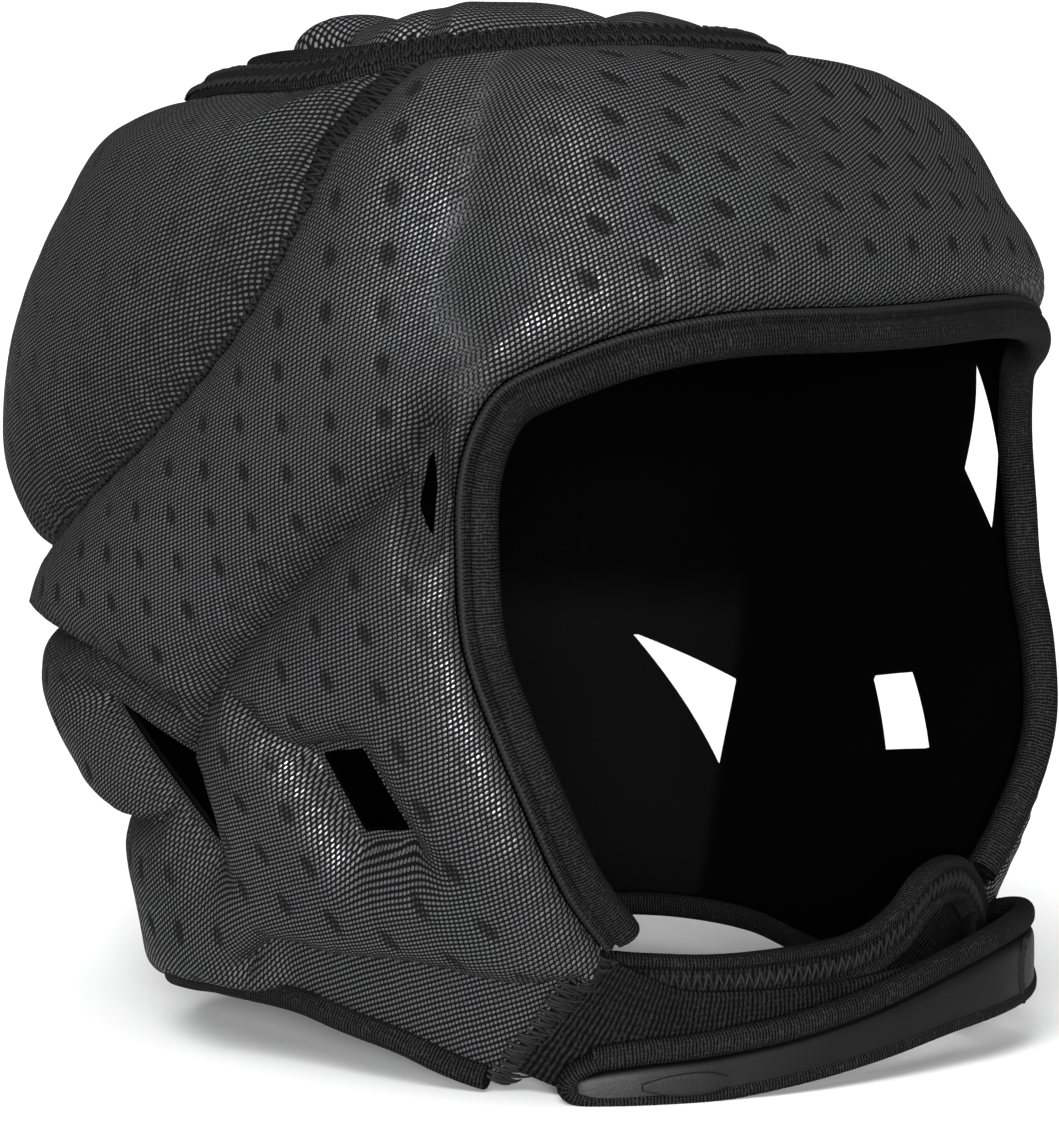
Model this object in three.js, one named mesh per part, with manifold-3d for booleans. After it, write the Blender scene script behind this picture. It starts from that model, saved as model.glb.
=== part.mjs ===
import * as THREE from 'three';
import { mergeVertices } from 'three/addons/utils/BufferGeometryUtils.js';
import ManifoldModule from 'manifold-3d';

// Soft shell helmet: a padded fabric cap with pierced vents, bound edges and a chin strap.
// Millimetres, +Z up, face opening toward -Y, the wearer's right toward -X.
// Bearings run from the front toward the wearer's right, elevations up from the head centre.

// Driving sizes
const CENTRE_HEIGHT = 108;
const REST_SHIFT_Y = -2.84;
const FABRIC = 3;
const SEAM_GAP = 0.2;
const PIECE_GAP = 0.3;
const EDGE_GAP = 0.6;
const FACE_GAP = 0.8;
const MESH_DETAIL = 12;
const CHANNEL_REACH = 2.4;
const VENT_CUT_IN = 12;
const VENT_CUT_OUT = 26;
const FACE_ROLL_WIDTH = 8.4;
const FACE_ROLL_THICK = 7;
const NECK_ROLL_WIDTH = 6.4;
const NECK_ROLL_THICK = 5.6;
const CROWN_ROLL_WIDTH = 7;
const CROWN_ROLL_THICK = 4.6;
const EDGE_ROLL_WIDTH = 4.6;
const EDGE_ROLL_THICK = 4.6;
const CROWN_SLOT = 2.4;
const FREE_FROM = 56;
const FREE_TO = 134;
const FREE_BLEND = 18;
const CROWN_PAD_HEIGHT = 11.5;
const CROWN_PAD_RUN = 19;
const CROWN_FRONT_MARGIN = 6;
const CROWN_REAR_MARGIN = 14;
const CROWN_SPLIT_Y = 2.5;
const LEAN = 0.07;
const LEAN_FROM = 20;
const LEAN_TO = 55;
const CROWN_RISE = 92;
const CROWN_REACH = 70;
const STRAP_BASE_THICK = 2.4;
const INNER_STRAP_THICK = 4;
const TAB_THICK = 5;
const TAB_BINDING_THICK = 6.2;
const TAB_BINDING_HEIGHT = 5.2;
const PATCH_THICK = 0.8;

// Lining radius from the head centre, squareness of each half in plan, pad height over the channels
const SECTIONS = [
  { el: -60, front: 138, side: 123, back: 127, sqF: 2.5, sqB: 2.2, padF: 9, padS: 7.5, padB: 7 },
  { el: -40, front: 116, side: 100, back: 89.5, sqF: 3, sqB: 2.2, padF: 10, padS: 8, padB: 8.5 },
  { el: -20, front: 109, side: 91.5, back: 91, sqF: 4.6, sqB: 2.2, padF: 10, padS: 9, padB: 11 },
  { el: 0, front: 105, side: 87.5, back: 96, sqF: 5.6, sqB: 2.2, padF: 10, padS: 8.5, padB: 12 },
  { el: 18, front: 112, side: 90.5, back: 103, sqF: 3.5, sqB: 2.2, padF: 12, padS: 8.5, padB: 12.5 },
  { el: 32, front: 110.5, side: 97, back: 101, sqF: 2.3, sqB: 2.2, padF: 12, padS: 9, padB: 12 },
  { el: 46, front: 109, side: 105, back: 101.5, sqF: 2.25, sqB: 2.1, padF: 12.5, padS: 9, padB: 11.5 },
  { el: 60, front: 113, side: 107.5, back: 103.5, sqF: 2, sqB: 2, padF: 9, padS: 8, padB: 9 },
  { el: 75, front: 101.5, side: 99, back: 94, sqF: 2, sqB: 2, padF: 9, padS: 8, padB: 9 },
  { el: 90, front: 97, side: 97, back: 97, sqF: 2, sqB: 2, padF: 9, padS: 8, padB: 9 },
];

// Edge of the face opening, from the brow down the right cheek
const FACE_EDGE = [
  { at: 0, el: 26.5 }, { at: 20, el: 26 }, { at: 33, el: 24.3 }, { at: 42.5, el: 21.7 },
  { at: 48.5, el: 19.3 }, { at: 51.6, el: 15.2 }, { at: 53.2, el: 9.3 }, { at: 53.2, el: 1.1 },
  { at: 52.4, el: -7.2 }, { at: 49.5, el: -15 }, { at: 46.5, el: -21.6 }, { at: 42, el: -31 },
  { at: 37, el: -37.5 },
];
// Cheek end, where the chin strap is sewn on
const CHEEK_END = [{ at: 37, el: -37.5 }, { at: 44, el: -46 }, { at: 50.6, el: -53 }];

// Edge of the crown opening
const CROWN_EDGE = [
  { at: 0, el: 60.2 }, { at: 20, el: 60.6 }, { at: 37, el: 60.4 }, { at: 55, el: 59.4 },
  { at: 69, el: 57.6 }, { at: 77, el: 55.6 }, { at: 89, el: 53.6 }, { at: 107, el: 52.8 },
  { at: 132, el: 51.6 }, { at: 155, el: 51 }, { at: 180, el: 51 },
];

// Diagonal seam between the front and the rear panel
const SEAM = [
  { at: 67.3, el: 58.6 }, { at: 72, el: 51 }, { at: 76.3, el: 45.6 }, { at: 78.6, el: 38.6 },
  { at: 84.2, el: 30.3 }, { at: 93, el: 22 }, { at: 102, el: 14.2 }, { at: 111, el: 8.4 },
  { at: 123, el: 1.6 }, { at: 138, el: -3.5 }, { at: 158, el: -6.5 }, { at: 180, el: -7.5 },
];

// Height of the lower rim above the resting plane, without its binding
const RIM = [
  { at: 40, z: 6 }, { at: 50, z: 6.4 }, { at: 56, z: 8.6 }, { at: 64, z: 12.5 }, { at: 75, z: 15.5 },
  { at: 84, z: 18 }, { at: 95, z: 19 }, { at: 110, z: 19 }, { at: 125, z: 17.5 }, { at: 140, z: 13.5 },
  { at: 152, z: 10 }, { at: 163, z: 7.4 }, { at: 172, z: 6.4 }, { at: 180, z: 6.4 },
];

// Channels pressed between the pads: share of the pad height taken away, run of the rounded pad edge,
// and how gently that edge starts
const FOREHEAD_FOLD = [
  { at: 41, el: 59.5 }, { at: 50.6, el: 54 }, { at: 52, el: 47 }, { at: 52.6, el: 40.7 },
  { at: 55, el: 32.3 }, { at: 55.6, el: 27.2 }, { at: 51.8, el: 22.8 },
];
const SIDE_CHANNEL = [
  { at: 54.4, el: 15.4 }, { at: 62.4, el: 7.8 }, { at: 69.6, el: 1.8 }, { at: 79.5, el: -7.6 },
  { at: 87, el: -14.6 }, { at: 95.6, el: -25 },
];
const SIDE_END = [
  { at: 95, el: -19.8 }, { at: 103, el: -17 }, { at: 115, el: -13.6 }, { at: 136, el: -12.4 },
  { at: 158, el: -13.5 }, { at: 180, el: -14 },
];
const EAR_FOLD = [
  { at: 72.6, el: -23 }, { at: 77.6, el: -20.7 }, { at: 83.5, el: -17.3 }, { at: 87, el: -14.6 },
];
const NAPE_CHANNEL = [
  { at: 97, el: -34.5 }, { at: 104, el: -33.5 }, { at: 111, el: -35.2 }, { at: 130, el: -36 },
  { at: 155, el: -37 }, { at: 180, el: -38 },
];
const LOW_CHANNEL = [
  { at: 40, el: -40 }, { at: 46.4, el: -42 }, { at: 59.7, el: -43.4 }, { at: 74.6, el: -45.9 },
  { at: 86.4, el: -46.4 }, { at: 94, el: -49 },
];
const BACK_LINE = [{ at: 180, el: 50 }, { at: 180, el: 20 }, { at: 180, el: -10 }, { at: 180, el: -52 }];
const CHANNELS = [
  { rows: FOREHEAD_FOLD, depth: 0.5, run: 20 },
  { rows: SIDE_CHANNEL, depth: 1, run: 16 },
  { rows: SIDE_END, depth: 1, run: 14 },
  { rows: EAR_FOLD, depth: 0.8, run: 10 },
  { rows: NAPE_CHANNEL, depth: 1, run: 12 },
  { rows: LOW_CHANNEL, depth: 1, run: 12 },
  { rows: BACK_LINE, depth: 0.35, run: 14 },
  { rows: SEAM, depth: 1, run: 16 },
  { rows: CROWN_EDGE, depth: 1, run: 22, slope: 1.8 },
  { rows: FACE_EDGE, depth: 1, run: 13 },
];
const RIM_RUN = 10;
const VENT_RUN = 9;

// Pierced vents, mirrored to the other side unless the two sides differ
const VENTS = [
  {
    name: 'kite_right', single: true,
    rows: [{ at: 55.9, el: 12 }, { at: 57.9, el: 4.8 }, { at: 55.7, el: 1.2 }, { at: 55, el: 7 }],
  },
  {
    name: 'kite_left', single: true,
    rows: [{ at: -55.6, el: 20 }, { at: -59.8, el: 5 }, { at: -55.8, el: -3 }, { at: -54.8, el: 7 }],
  },
  {
    name: 'rhombus',
    rows: [{ at: 72.4, el: -23 }, { at: 65.6, el: -21 }, { at: 59.6, el: -29 }, { at: 66.8, el: -31.4 }],
  },
  { name: 'triangle', rows: [{ at: 116, el: -20.5 }, { at: 97, el: -26.5 }, { at: 97.4, el: -38 }] },
];

// Chin strap: upper and lower edge of each section
const STRAP_BASE = [
  { tx: -57.6, ty: -76.8, tz: 30.6, lx: -60.7, ly: -53.2, lz: 5.8 },
  { tx: -49.5, ty: -81.4, tz: 26, lx: -53.4, ly: -69.4, lz: 0.4 },
  { tx: -40, ty: -85.4, tz: 22, lx: -41, ly: -79.8, lz: 1.4 },
  { tx: -20, ty: -91, tz: 20.5, lx: -20, ly: -90, lz: 5.5 },
  { tx: 0, ty: -94.4, tz: 20.5, lx: 0, ly: -94, lz: 7 },
  { tx: 20, ty: -95.9, tz: 22, lx: 20, ly: -95.8, lz: 9 },
];
const INNER_STRAP = [
  { x: -58.1, y: -61.9, low: 20, top: 30 },
  { x: -51.3, y: -71.3, low: 19.5, top: 29.5 },
  { x: -43, y: -77.8, low: 18.5, top: 28.5 },
  { x: -30, y: -84.4, low: 17.8, top: 27.5 },
  { x: -12, y: -88.8, low: 17.5, top: 27.5 },
  { x: 5, y: -90.3, low: 19, top: 28.5 },
  { x: 18, y: -90.2, low: 23, top: 32.5 },
  { x: 29, y: -88, low: 28.6, top: 38 },
  { x: 39, y: -85.6, low: 31, top: 40 },
  { x: 47.6, y: -82, low: 29, top: 38.4 },
  { x: 53.6, y: -76, low: 24, top: 34 },
  { x: 57, y: -67, low: 20.6, top: 30.6 },
];
const OUTER_TAB = [
  { x: -60.5, y: -71.6, low: 1.5, top: 4 },
  { x: -58, y: -75, low: -0.6, top: 6 },
  { x: -50, y: -81.8, low: -0.6, top: 7.4 },
  { x: -38, y: -88.8, low: 0, top: 8.3 },
  { x: -20, y: -95.8, low: 2, top: 10.5 },
  { x: 0, y: -99.6, low: 4.6, top: 14 },
  { x: 20, y: -101, low: 7.6, top: 18.6 },
  { x: 38, y: -100.4, low: 9.4, top: 22.4 },
  { x: 53, y: -95.2, low: 11.4, top: 24.4 },
  { x: 63.6, y: -87.6, low: 12.2, top: 23.8 },
  { x: 69.4, y: -79.4, low: 10.6, top: 20.8 },
  { x: 71.4, y: -71, low: 8, top: 17.4 },
  { x: 73, y: -63.4, low: 6, top: 14.8 },
];
const TAB_PATCH = [
  { x: -52.6, y: -84, low: 3, top: 4.4 },
  { x: -48.6, y: -86.6, low: 1.9, top: 5.6 },
  { x: -44.6, y: -89, low: 1.6, top: 6.2 },
  { x: -40.6, y: -91.2, low: 1.9, top: 6.2 },
  { x: -36.8, y: -93, low: 3, top: 5.2 },
];

// Colours
const LOOK = {
  mesh: { color: 0x2b2c2e, roughness: 0.75 },
  binding: { color: 0x131314, roughness: 0.9 },
  knit: { color: 0x161617, roughness: 0.95 },
  tab: { color: 0x18181a, roughness: 0.55 },
  patch: { color: 0x222325, roughness: 0.35 },
};

const DEG = Math.PI / 180;
const CENTRE = new THREE.Vector3(0, 0, CENTRE_HEIGHT);

function dirOf(at, el) {
  const c = Math.cos(el * DEG);
  return new THREE.Vector3(-Math.sin(at * DEG) * c, -Math.cos(at * DEG) * c, Math.sin(el * DEG));
}

function anglesOf(dir) {
  const at = Math.atan2(-dir.x, -dir.y) / DEG;
  const el = Math.atan2(dir.z, Math.hypot(dir.x, dir.y)) / DEG;
  return { at, el };
}

// Smooth value of one column of a table, rows in rising order of the key
function column(table, key, name, value) {
  const last = table.length - 1;
  const q = Math.min(Math.max(value, table[0][key]), table[last][key]);
  let i = 0;
  while (i < last - 1 && q >= table[i + 1][key]) i += 1;
  const slope = (k) => {
    const a = table[Math.max(k - 1, 0)];
    const b = table[Math.min(k + 1, last)];
    return k === last ? 0 : (b[name] - a[name]) / (b[key] - a[key]);
  };
  const a = table[i];
  const b = table[i + 1];
  const h = b[key] - a[key];
  const t = (q - a[key]) / h;
  const rise = (1 + 2 * t) * (1 - t) ** 2 * a[name] + t * t * (3 - 2 * t) * b[name];
  return rise + t * (1 - t) ** 2 * h * slope(i) + t * t * (t - 1) * h * slope(i + 1);
}

function liningRadius(dir) {
  const { at, el } = anglesOf(dir);
  const c = Math.cos(at * DEG);
  const s = Math.abs(Math.sin(at * DEG));
  const ahead = column(SECTIONS, 'el', c > 0 ? 'front' : 'back', el);
  const side = column(SECTIONS, 'el', 'side', el);
  const n = column(SECTIONS, 'el', c > 0 ? 'sqF' : 'sqB', el);
  return ((Math.abs(c) / ahead) ** n + (s / side) ** n) ** (-1 / n);
}

function ease(t) {
  const q = Math.min(Math.max(t, 0), 1);
  return q * q * (3 - 2 * q);
}

// Point over the lining: the empty soft top leans toward the wearer's left
function onLining(dir, lift = 0) {
  const p = CENTRE.clone().addScaledVector(dir, liningRadius(dir) + lift);
  p.z -= LEAN * p.x * ease((anglesOf(dir).el - LEAN_FROM) / (LEAN_TO - LEAN_FROM));
  return p;
}

function padHeight(dir) {
  const { at, el } = anglesOf(dir);
  const c = Math.cos(at * DEG);
  const end = column(SECTIONS, 'el', c > 0 ? 'padF' : 'padB', el);
  const side = column(SECTIONS, 'el', 'padS', el);
  return side + (end - side) * c * c;
}

// Rows of a curve as many close directions, smooth through every row
function trace(rows, steps = 6) {
  const out = [];
  for (let i = 0; i < rows.length - 1; i += 1) {
    const p = [rows[Math.max(i - 1, 0)], rows[i], rows[i + 1], rows[Math.min(i + 2, rows.length - 1)]];
    for (let k = 0; k < steps; k += 1) {
      const t = k / steps;
      const mix = (name) => {
        const [a, b, c, d] = p.map((row) => row[name]);
        const cubic = (3 * b - 3 * c + d - a) * t ** 3 + (2 * a - 5 * b + 4 * c - d) * t * t;
        return b + 0.5 * ((c - a) * t + cubic);
      };
      out.push({ at: mix('at'), el: mix('el') });
    }
  }
  out.push({ at: rows[rows.length - 1].at, el: rows[rows.length - 1].el });
  return out;
}

function mirrored(rows) {
  return rows.map((row) => ({ at: -row.at, el: row.el }));
}

// Polyline on the lining with its distance test
function polyline(rows, steps, closed = false) {
  const list = steps > 1 ? trace(rows, steps) : rows.slice();
  if (closed) list.push(list[0]);
  return list.map((row) => onLining(dirOf(row.at, row.el)));
}

function distanceTo(points, p) {
  let best = Infinity;
  for (let i = 0; i < points.length - 1; i += 1) {
    const a = points[i];
    const b = points[i + 1];
    const dx = b.x - a.x;
    const dy = b.y - a.y;
    const dz = b.z - a.z;
    const run = dx * dx + dy * dy + dz * dz;
    const along = (p.x - a.x) * dx + (p.y - a.y) * dy + (p.z - a.z) * dz;
    const t = run > 0 ? Math.min(Math.max(along / run, 0), 1) : 0;
    const d = Math.hypot(a.x + t * dx - p.x, a.y + t * dy - p.y, a.z + t * dz - p.z);
    if (d < best) best = d;
  }
  return best;
}

function insideRows(rows, at, el) {
  let inside = false;
  for (let i = 0, j = rows.length - 1; i < rows.length; j = i, i += 1) {
    const a = rows[i];
    const b = rows[j];
    const crosses = a.el > el !== b.el > el;
    if (crosses && at < ((b.at - a.at) * (el - a.el)) / (b.el - a.el) + a.at) inside = !inside;
  }
  return inside;
}

// Curves on both sides of the helmet
const faceRight = trace(FACE_EDGE);
const cheekRight = trace(CHEEK_END);
const openingRows = [
  ...faceRight, ...cheekRight, { at: 62, el: -80 }, { at: -62, el: -80 },
  ...mirrored([...faceRight, ...cheekRight]).reverse(),
];
const openingCurve = [...faceRight, ...cheekRight];
const faceLine = openingCurve.map((row) => onLining(dirOf(row.at, row.el)));
const faceLineLeft = mirrored(openingCurve).map((row) => onLining(dirOf(row.at, row.el)));
const seamRight = polyline(SEAM, 6);
const seamLeft = polyline(mirrored(SEAM), 6);
const ventRows = VENTS.flatMap((vent) => (vent.single ? [vent.rows] : [vent.rows, mirrored(vent.rows)]));
const vents = ventRows.map((rows) => ({
  rows,
  line: polyline(rows, 1, true),
}));
const channels = CHANNELS.flatMap((channel) => [channel.rows, mirrored(channel.rows)].map((rows) => ({
  line: polyline(rows, 6),
  depth: channel.depth,
  run: channel.run,
  slope: channel.slope ?? 1,
})));

// Signed sides of the edges, in millimetres, positive on the kept side of the front panel
function faceSide(dir) {
  const { at, el } = anglesOf(dir);
  const p = onLining(dir);
  const d = Math.min(distanceTo(faceLine, p), distanceTo(faceLineLeft, p));
  return insideRows(openingRows, at, el) ? -d : d;
}

function rimSide(dir) {
  const at = Math.abs(anglesOf(dir).at);
  return onLining(dir).z - column(RIM, 'at', 'z', at);
}

function crownSide(dir) {
  const { at, el } = anglesOf(dir);
  return (column(CROWN_EDGE, 'at', 'el', Math.abs(at)) - el) * DEG * liningRadius(dir);
}

function seamSide(dir) {
  const { at, el } = anglesOf(dir);
  const p = onLining(dir);
  const d = Math.min(distanceTo(seamRight, p), distanceTo(seamLeft, p));
  const first = SEAM[0];
  const steep = first.el + (first.at - Math.abs(at)) * 3;
  const level = Math.abs(at) < first.at ? steep : column(SEAM, 'at', 'el', Math.abs(at));
  return el > level ? -d : d;
}

function ventSide(vent, dir) {
  const { at, el } = anglesOf(dir);
  const d = distanceTo(vent.line, onLining(dir));
  return insideRows(vent.rows, at, el) ? -d : d;
}

function rounded(t) {
  return t >= 1 ? 1 : (1 - (1 - t) ** 2) ** 0.6;
}

// Height of the padding over the lining fabric
function padding(dir) {
  const { at, el } = anglesOf(dir);
  const p = onLining(dir);
  const side = Math.abs(at);
  const flatFrom = LOW_CHANNEL[0].at;
  const flatTo = LOW_CHANNEL[LOW_CHANNEL.length - 1].at;
  if (side > flatFrom && side < flatTo && el < column(LOW_CHANNEL, 'at', 'el', side)) return 0;
  let share = rounded(Math.max(rimSide(dir), 0) / RIM_RUN);
  for (const channel of channels) {
    const d = distanceTo(channel.line, p);
    const rise = rounded(d / channel.run) ** channel.slope;
    share = Math.min(share, 1 - channel.depth * (1 - rise));
  }
  for (const vent of vents) {
    const d = Math.max(ventSide(vent, dir), 0);
    if (d < VENT_RUN) share = Math.min(share, rounded(d / VENT_RUN));
  }
  return padHeight(dir) * share;
}

// Directions of an even net over the whole head
function directionNet(detail) {
  const ball = new THREE.IcosahedronGeometry(1, detail);
  ball.deleteAttribute('normal');
  ball.deleteAttribute('uv');
  const merged = mergeVertices(ball, 1e-5);
  const position = merged.getAttribute('position');
  const dirs = [];
  for (let i = 0; i < position.count; i += 1) {
    dirs.push(new THREE.Vector3().fromBufferAttribute(position, i).normalize());
  }
  const tris = [];
  const index = merged.index.array;
  for (let i = 0; i < index.length; i += 3) tris.push([index[i], index[i + 1], index[i + 2]]);
  return { dirs, tris, fixed: new Set() };
}

// Moves net points lying close to an edge onto it, so the cut leaves no slivers
function settle(net, side, reach) {
  const values = net.dirs.map((dir) => side(dir));
  net.dirs.forEach((dir, i) => {
    if (net.fixed.has(i) || Math.abs(values[i]) > reach) return;
    const u = new THREE.Vector3(0, 0, 1).cross(dir);
    if (u.lengthSq() < 1e-6) u.set(1, 0, 0);
    u.normalize();
    const v = dir.clone().cross(u);
    const moved = dir.clone();
    for (let pass = 0; pass < 4; pass += 1) {
      const eps = 0.002;
      const f = side(moved);
      const gu = (side(moved.clone().addScaledVector(u, eps).normalize()) - f) / eps;
      const gv = (side(moved.clone().addScaledVector(v, eps).normalize()) - f) / eps;
      const g = gu * gu + gv * gv;
      if (g < 1) return;
      const step = Math.min(Math.max(f / g, -0.04), 0.04);
      moved.addScaledVector(u, -step * gu).addScaledVector(v, -step * gv).normalize();
    }
    if (Math.abs(side(moved)) > 0.05 || moved.distanceTo(dir) > 0.035) return;
    net.dirs[i] = moved;
    values[i] = 0;
    net.fixed.add(i);
  });
  return values;
}

// Moves net points lying close to a channel into its floor
function settleChannels(net, lines, reach) {
  net.dirs.forEach((dir, i) => {
    if (net.fixed.has(i)) return;
    const p = onLining(dir);
    let best = reach;
    let floor = null;
    for (const line of lines) {
      for (let k = 0; k < line.length - 1; k += 1) {
        const near = new THREE.Line3(line[k], line[k + 1]).closestPointToPoint(p, true, new THREE.Vector3());
        const d = near.distanceTo(p);
        if (d < best) {
          best = d;
          floor = near;
        }
      }
    }
    if (!floor) return;
    net.dirs[i] = floor.sub(CENTRE).normalize();
    net.fixed.add(i);
  });
}

// Splits the net along a channel, so its floor is a line of net edges
function splitAlong(net, line) {
  const last = line.length - 2;
  const place = net.dirs.map((dir) => {
    const p = onLining(dir);
    let best = 14;
    let value = null;
    for (let k = 0; k <= last; k += 1) {
      const run = line[k + 1].clone().sub(line[k]);
      const t = p.clone().sub(line[k]).dot(run) / run.lengthSq();
      const near = line[k].clone().addScaledVector(run, Math.min(Math.max(t, 0), 1));
      const d = near.distanceTo(p);
      if (d >= best) continue;
      best = d;
      const past = (k === 0 && t < 0) || (k === last && t > 1);
      const turn = run.clone().cross(p.clone().sub(line[k])).dot(dir);
      value = past ? null : Math.sign(turn) * d;
    }
    return value;
  });
  const cuts = new Map();
  const cut = (a, b) => {
    if (place[a] === null || place[b] === null) return -1;
    if (place[a] * place[b] >= 0 || Math.min(Math.abs(place[a]), Math.abs(place[b])) < 0.3) return -1;
    const key = a < b ? `${a},${b}` : `${b},${a}`;
    if (!cuts.has(key)) {
      const share = place[a] / (place[a] - place[b]);
      cuts.set(key, net.dirs.length);
      net.fixed.add(net.dirs.length);
      net.dirs.push(net.dirs[a].clone().lerp(net.dirs[b], share).normalize());
      place.push(0);
    }
    return cuts.get(key);
  };
  const tris = [];
  for (const tri of net.tris) {
    const marks = [cut(tri[0], tri[1]), cut(tri[1], tri[2]), cut(tri[2], tri[0])];
    const hit = marks.filter((m) => m >= 0).length;
    if (hit === 0) {
      tris.push(tri);
    } else if (hit === 1) {
      const k = marks.findIndex((m) => m >= 0);
      const [a, b, c] = [tri[k], tri[(k + 1) % 3], tri[(k + 2) % 3]];
      tris.push([a, marks[k], c], [marks[k], b, c]);
    } else if (hit === 2) {
      const k = marks.findIndex((m) => m < 0);
      const [a, b, c] = [tri[k], tri[(k + 1) % 3], tri[(k + 2) % 3]];
      const [p, q] = [marks[(k + 1) % 3], marks[(k + 2) % 3]];
      tris.push([a, b, p], [a, p, q], [p, c, q]);
    } else {
      const [p, q, r] = marks;
      tris.push([tri[0], p, r], [p, tri[1], q], [r, q, tri[2]], [p, q, r]);
    }
  }
  net.tris = tris;
}

// Keeps the part of the net on the positive side
function trim(source, side, reach = 1.6) {
  const net = { dirs: source.dirs.slice(), tris: source.tris, fixed: new Set(source.fixed) };
  const values = settle(net, side, reach);
  const cuts = new Map();
  const cut = (a, b) => {
    const key = a < b ? a * 100000 + b : b * 100000 + a;
    if (!cuts.has(key)) {
      let low = net.dirs[a].clone();
      let high = net.dirs[b].clone();
      const lowValue = values[a];
      for (let pass = 0; pass < 14; pass += 1) {
        const mid = low.clone().add(high).normalize();
        if (Math.sign(side(mid)) === Math.sign(lowValue)) low = mid;
        else high = mid;
      }
      net.fixed.add(net.dirs.length);
      cuts.set(key, net.dirs.length);
      net.dirs.push(low.add(high).normalize());
    }
    return cuts.get(key);
  };
  const kept = [];
  for (const tri of net.tris) {
    const sign = tri.map((i) => Math.sign(values[i]));
    if (Math.max(...sign) <= 0) continue;
    const ring = [];
    for (let k = 0; k < 3; k += 1) {
      const a = tri[k];
      const b = tri[(k + 1) % 3];
      if (values[a] >= 0) ring.push(a);
      if (values[a] * values[b] < 0) ring.push(cut(a, b));
    }
    for (let k = 1; k < ring.length - 1; k += 1) kept.push([ring[0], ring[k], ring[k + 1]]);
  }
  const map = new Map();
  const dirs = [];
  const fixed = new Set();
  const tris = kept.map((tri) => tri.map((i) => {
    if (!map.has(i)) {
      map.set(i, dirs.length);
      if (net.fixed.has(i)) fixed.add(dirs.length);
      dirs.push(net.dirs[i]);
    }
    return map.get(i);
  }));
  return { dirs, tris, fixed };
}

// Closed shell over a net: outer face, lining face and the walls along its edges
function shell(net, height) {
  const count = net.dirs.length;
  const points = [];
  net.dirs.forEach((dir) => points.push(onLining(dir, FABRIC + height(dir))));
  net.dirs.forEach((dir) => points.push(onLining(dir)));
  const faces = [];
  const edges = new Map();
  for (const [a, b, c] of net.tris) {
    faces.push([a, b, c], [count + a, count + c, count + b]);
    for (const [i, j] of [[a, b], [b, c], [c, a]]) edges.set(`${i},${j}`, [i, j]);
  }
  for (const [i, j] of edges.values()) {
    if (!edges.has(`${j},${i}`)) faces.push([j, i, count + i], [j, count + i, count + j]);
  }
  return solid(points, faces);
}

function solid(points, faces) {
  const geometry = new THREE.BufferGeometry();
  const flat = points.flatMap((p) => [p.x, p.y, Math.max(p.z, 0)]);
  geometry.setAttribute('position', new THREE.Float32BufferAttribute(flat, 3));
  geometry.setIndex(faces.flat());
  geometry.computeVertexNormals();
  return geometry;
}

// Points evenly spaced along a polyline
function spaced(points, count, closed) {
  const list = closed ? [...points, points[0]] : points;
  const run = [0];
  for (let i = 1; i < list.length; i += 1) run.push(run[i - 1] + list[i].distanceTo(list[i - 1]));
  const total = run[run.length - 1];
  const out = [];
  let k = 0;
  for (let i = 0; i < count; i += 1) {
    const want = (total * i) / (closed ? count : count - 1);
    while (k < list.length - 2 && run[k + 1] < want) k += 1;
    const t = Math.min((want - run[k]) / Math.max(run[k + 1] - run[k], 1e-9), 1);
    out.push(list[k].clone().lerp(list[k + 1], t));
  }
  return out;
}

// Rounded outline of a roll or strap section, six points, or eight with flat upper and lower edges
function roundedOutline(halfWide, halfThick, flat) {
  const cut = Math.min(halfThick * 0.9, halfWide * 0.6);
  const soft = Math.min(halfWide, halfThick) * 0.5;
  const plain = [
    [halfThick, halfWide - cut], [0, halfWide], [-halfThick, halfWide - cut],
    [-halfThick, cut - halfWide], [0, -halfWide], [halfThick, cut - halfWide],
  ];
  const square = [
    [halfThick, halfWide - soft], [halfThick - soft, halfWide],
    [soft - halfThick, halfWide], [-halfThick, halfWide - soft],
    [-halfThick, soft - halfWide], [soft - halfThick, -halfWide],
    [halfThick - soft, -halfWide], [halfThick, soft - halfWide],
  ];
  return flat ? square : plain;
}

function skin(rings, closed) {
  const points = rings.flat();
  const n = rings[0].length;
  const faces = [];
  const last = closed ? rings.length : rings.length - 1;
  for (let i = 0; i < last; i += 1) {
    const p = i * n;
    const q = ((i + 1) % rings.length) * n;
    for (let k = 0; k < n; k += 1) {
      const m = (k + 1) % n;
      faces.push([p + k, q + k, q + m], [p + k, q + m, p + m]);
    }
  }
  if (!closed) {
    const end = (rings.length - 1) * n;
    for (let k = 1; k < n - 1; k += 1) {
      faces.push([0, k, k + 1], [end, end + k + 1, end + k]);
    }
  }
  return solidFacingOut(points, faces);
}

function solidFacingOut(points, faces) {
  let volume = 0;
  for (const [a, b, c] of faces) volume += points[a].dot(points[b].clone().cross(points[c]));
  return solid(points, volume < 0 ? faces.map(([a, b, c]) => [a, c, b]) : faces);
}

// Binding rolled along an edge of the shell, lying just past it on the open side
function roll(rows, count, closed, wide, thick, openSide, setOff, flat = false) {
  const path = spaced(rows.map((row) => onLining(dirOf(row.at, row.el), FABRIC / 2)), count, closed);
  const rings = path.map((p, i) => {
    const next = path[closed ? (i + 1) % count : Math.min(i + 1, count - 1)];
    const prev = path[closed ? (i + count - 1) % count : Math.max(i - 1, 0)];
    const along = next.clone().sub(prev).normalize();
    const out = p.clone().sub(CENTRE).normalize();
    const across = along.clone().cross(out).normalize().multiplyScalar(openSide);
    out.copy(across).cross(along).normalize().multiplyScalar(openSide);
    const middle = p.clone().addScaledVector(across, setOff + wide / 2);
    return roundedOutline(wide / 2, thick / 2, flat).map(([t, w]) => (
      middle.clone().addScaledVector(out, t).addScaledVector(across, w)));
  });
  return skin(rings, closed);
}

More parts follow.
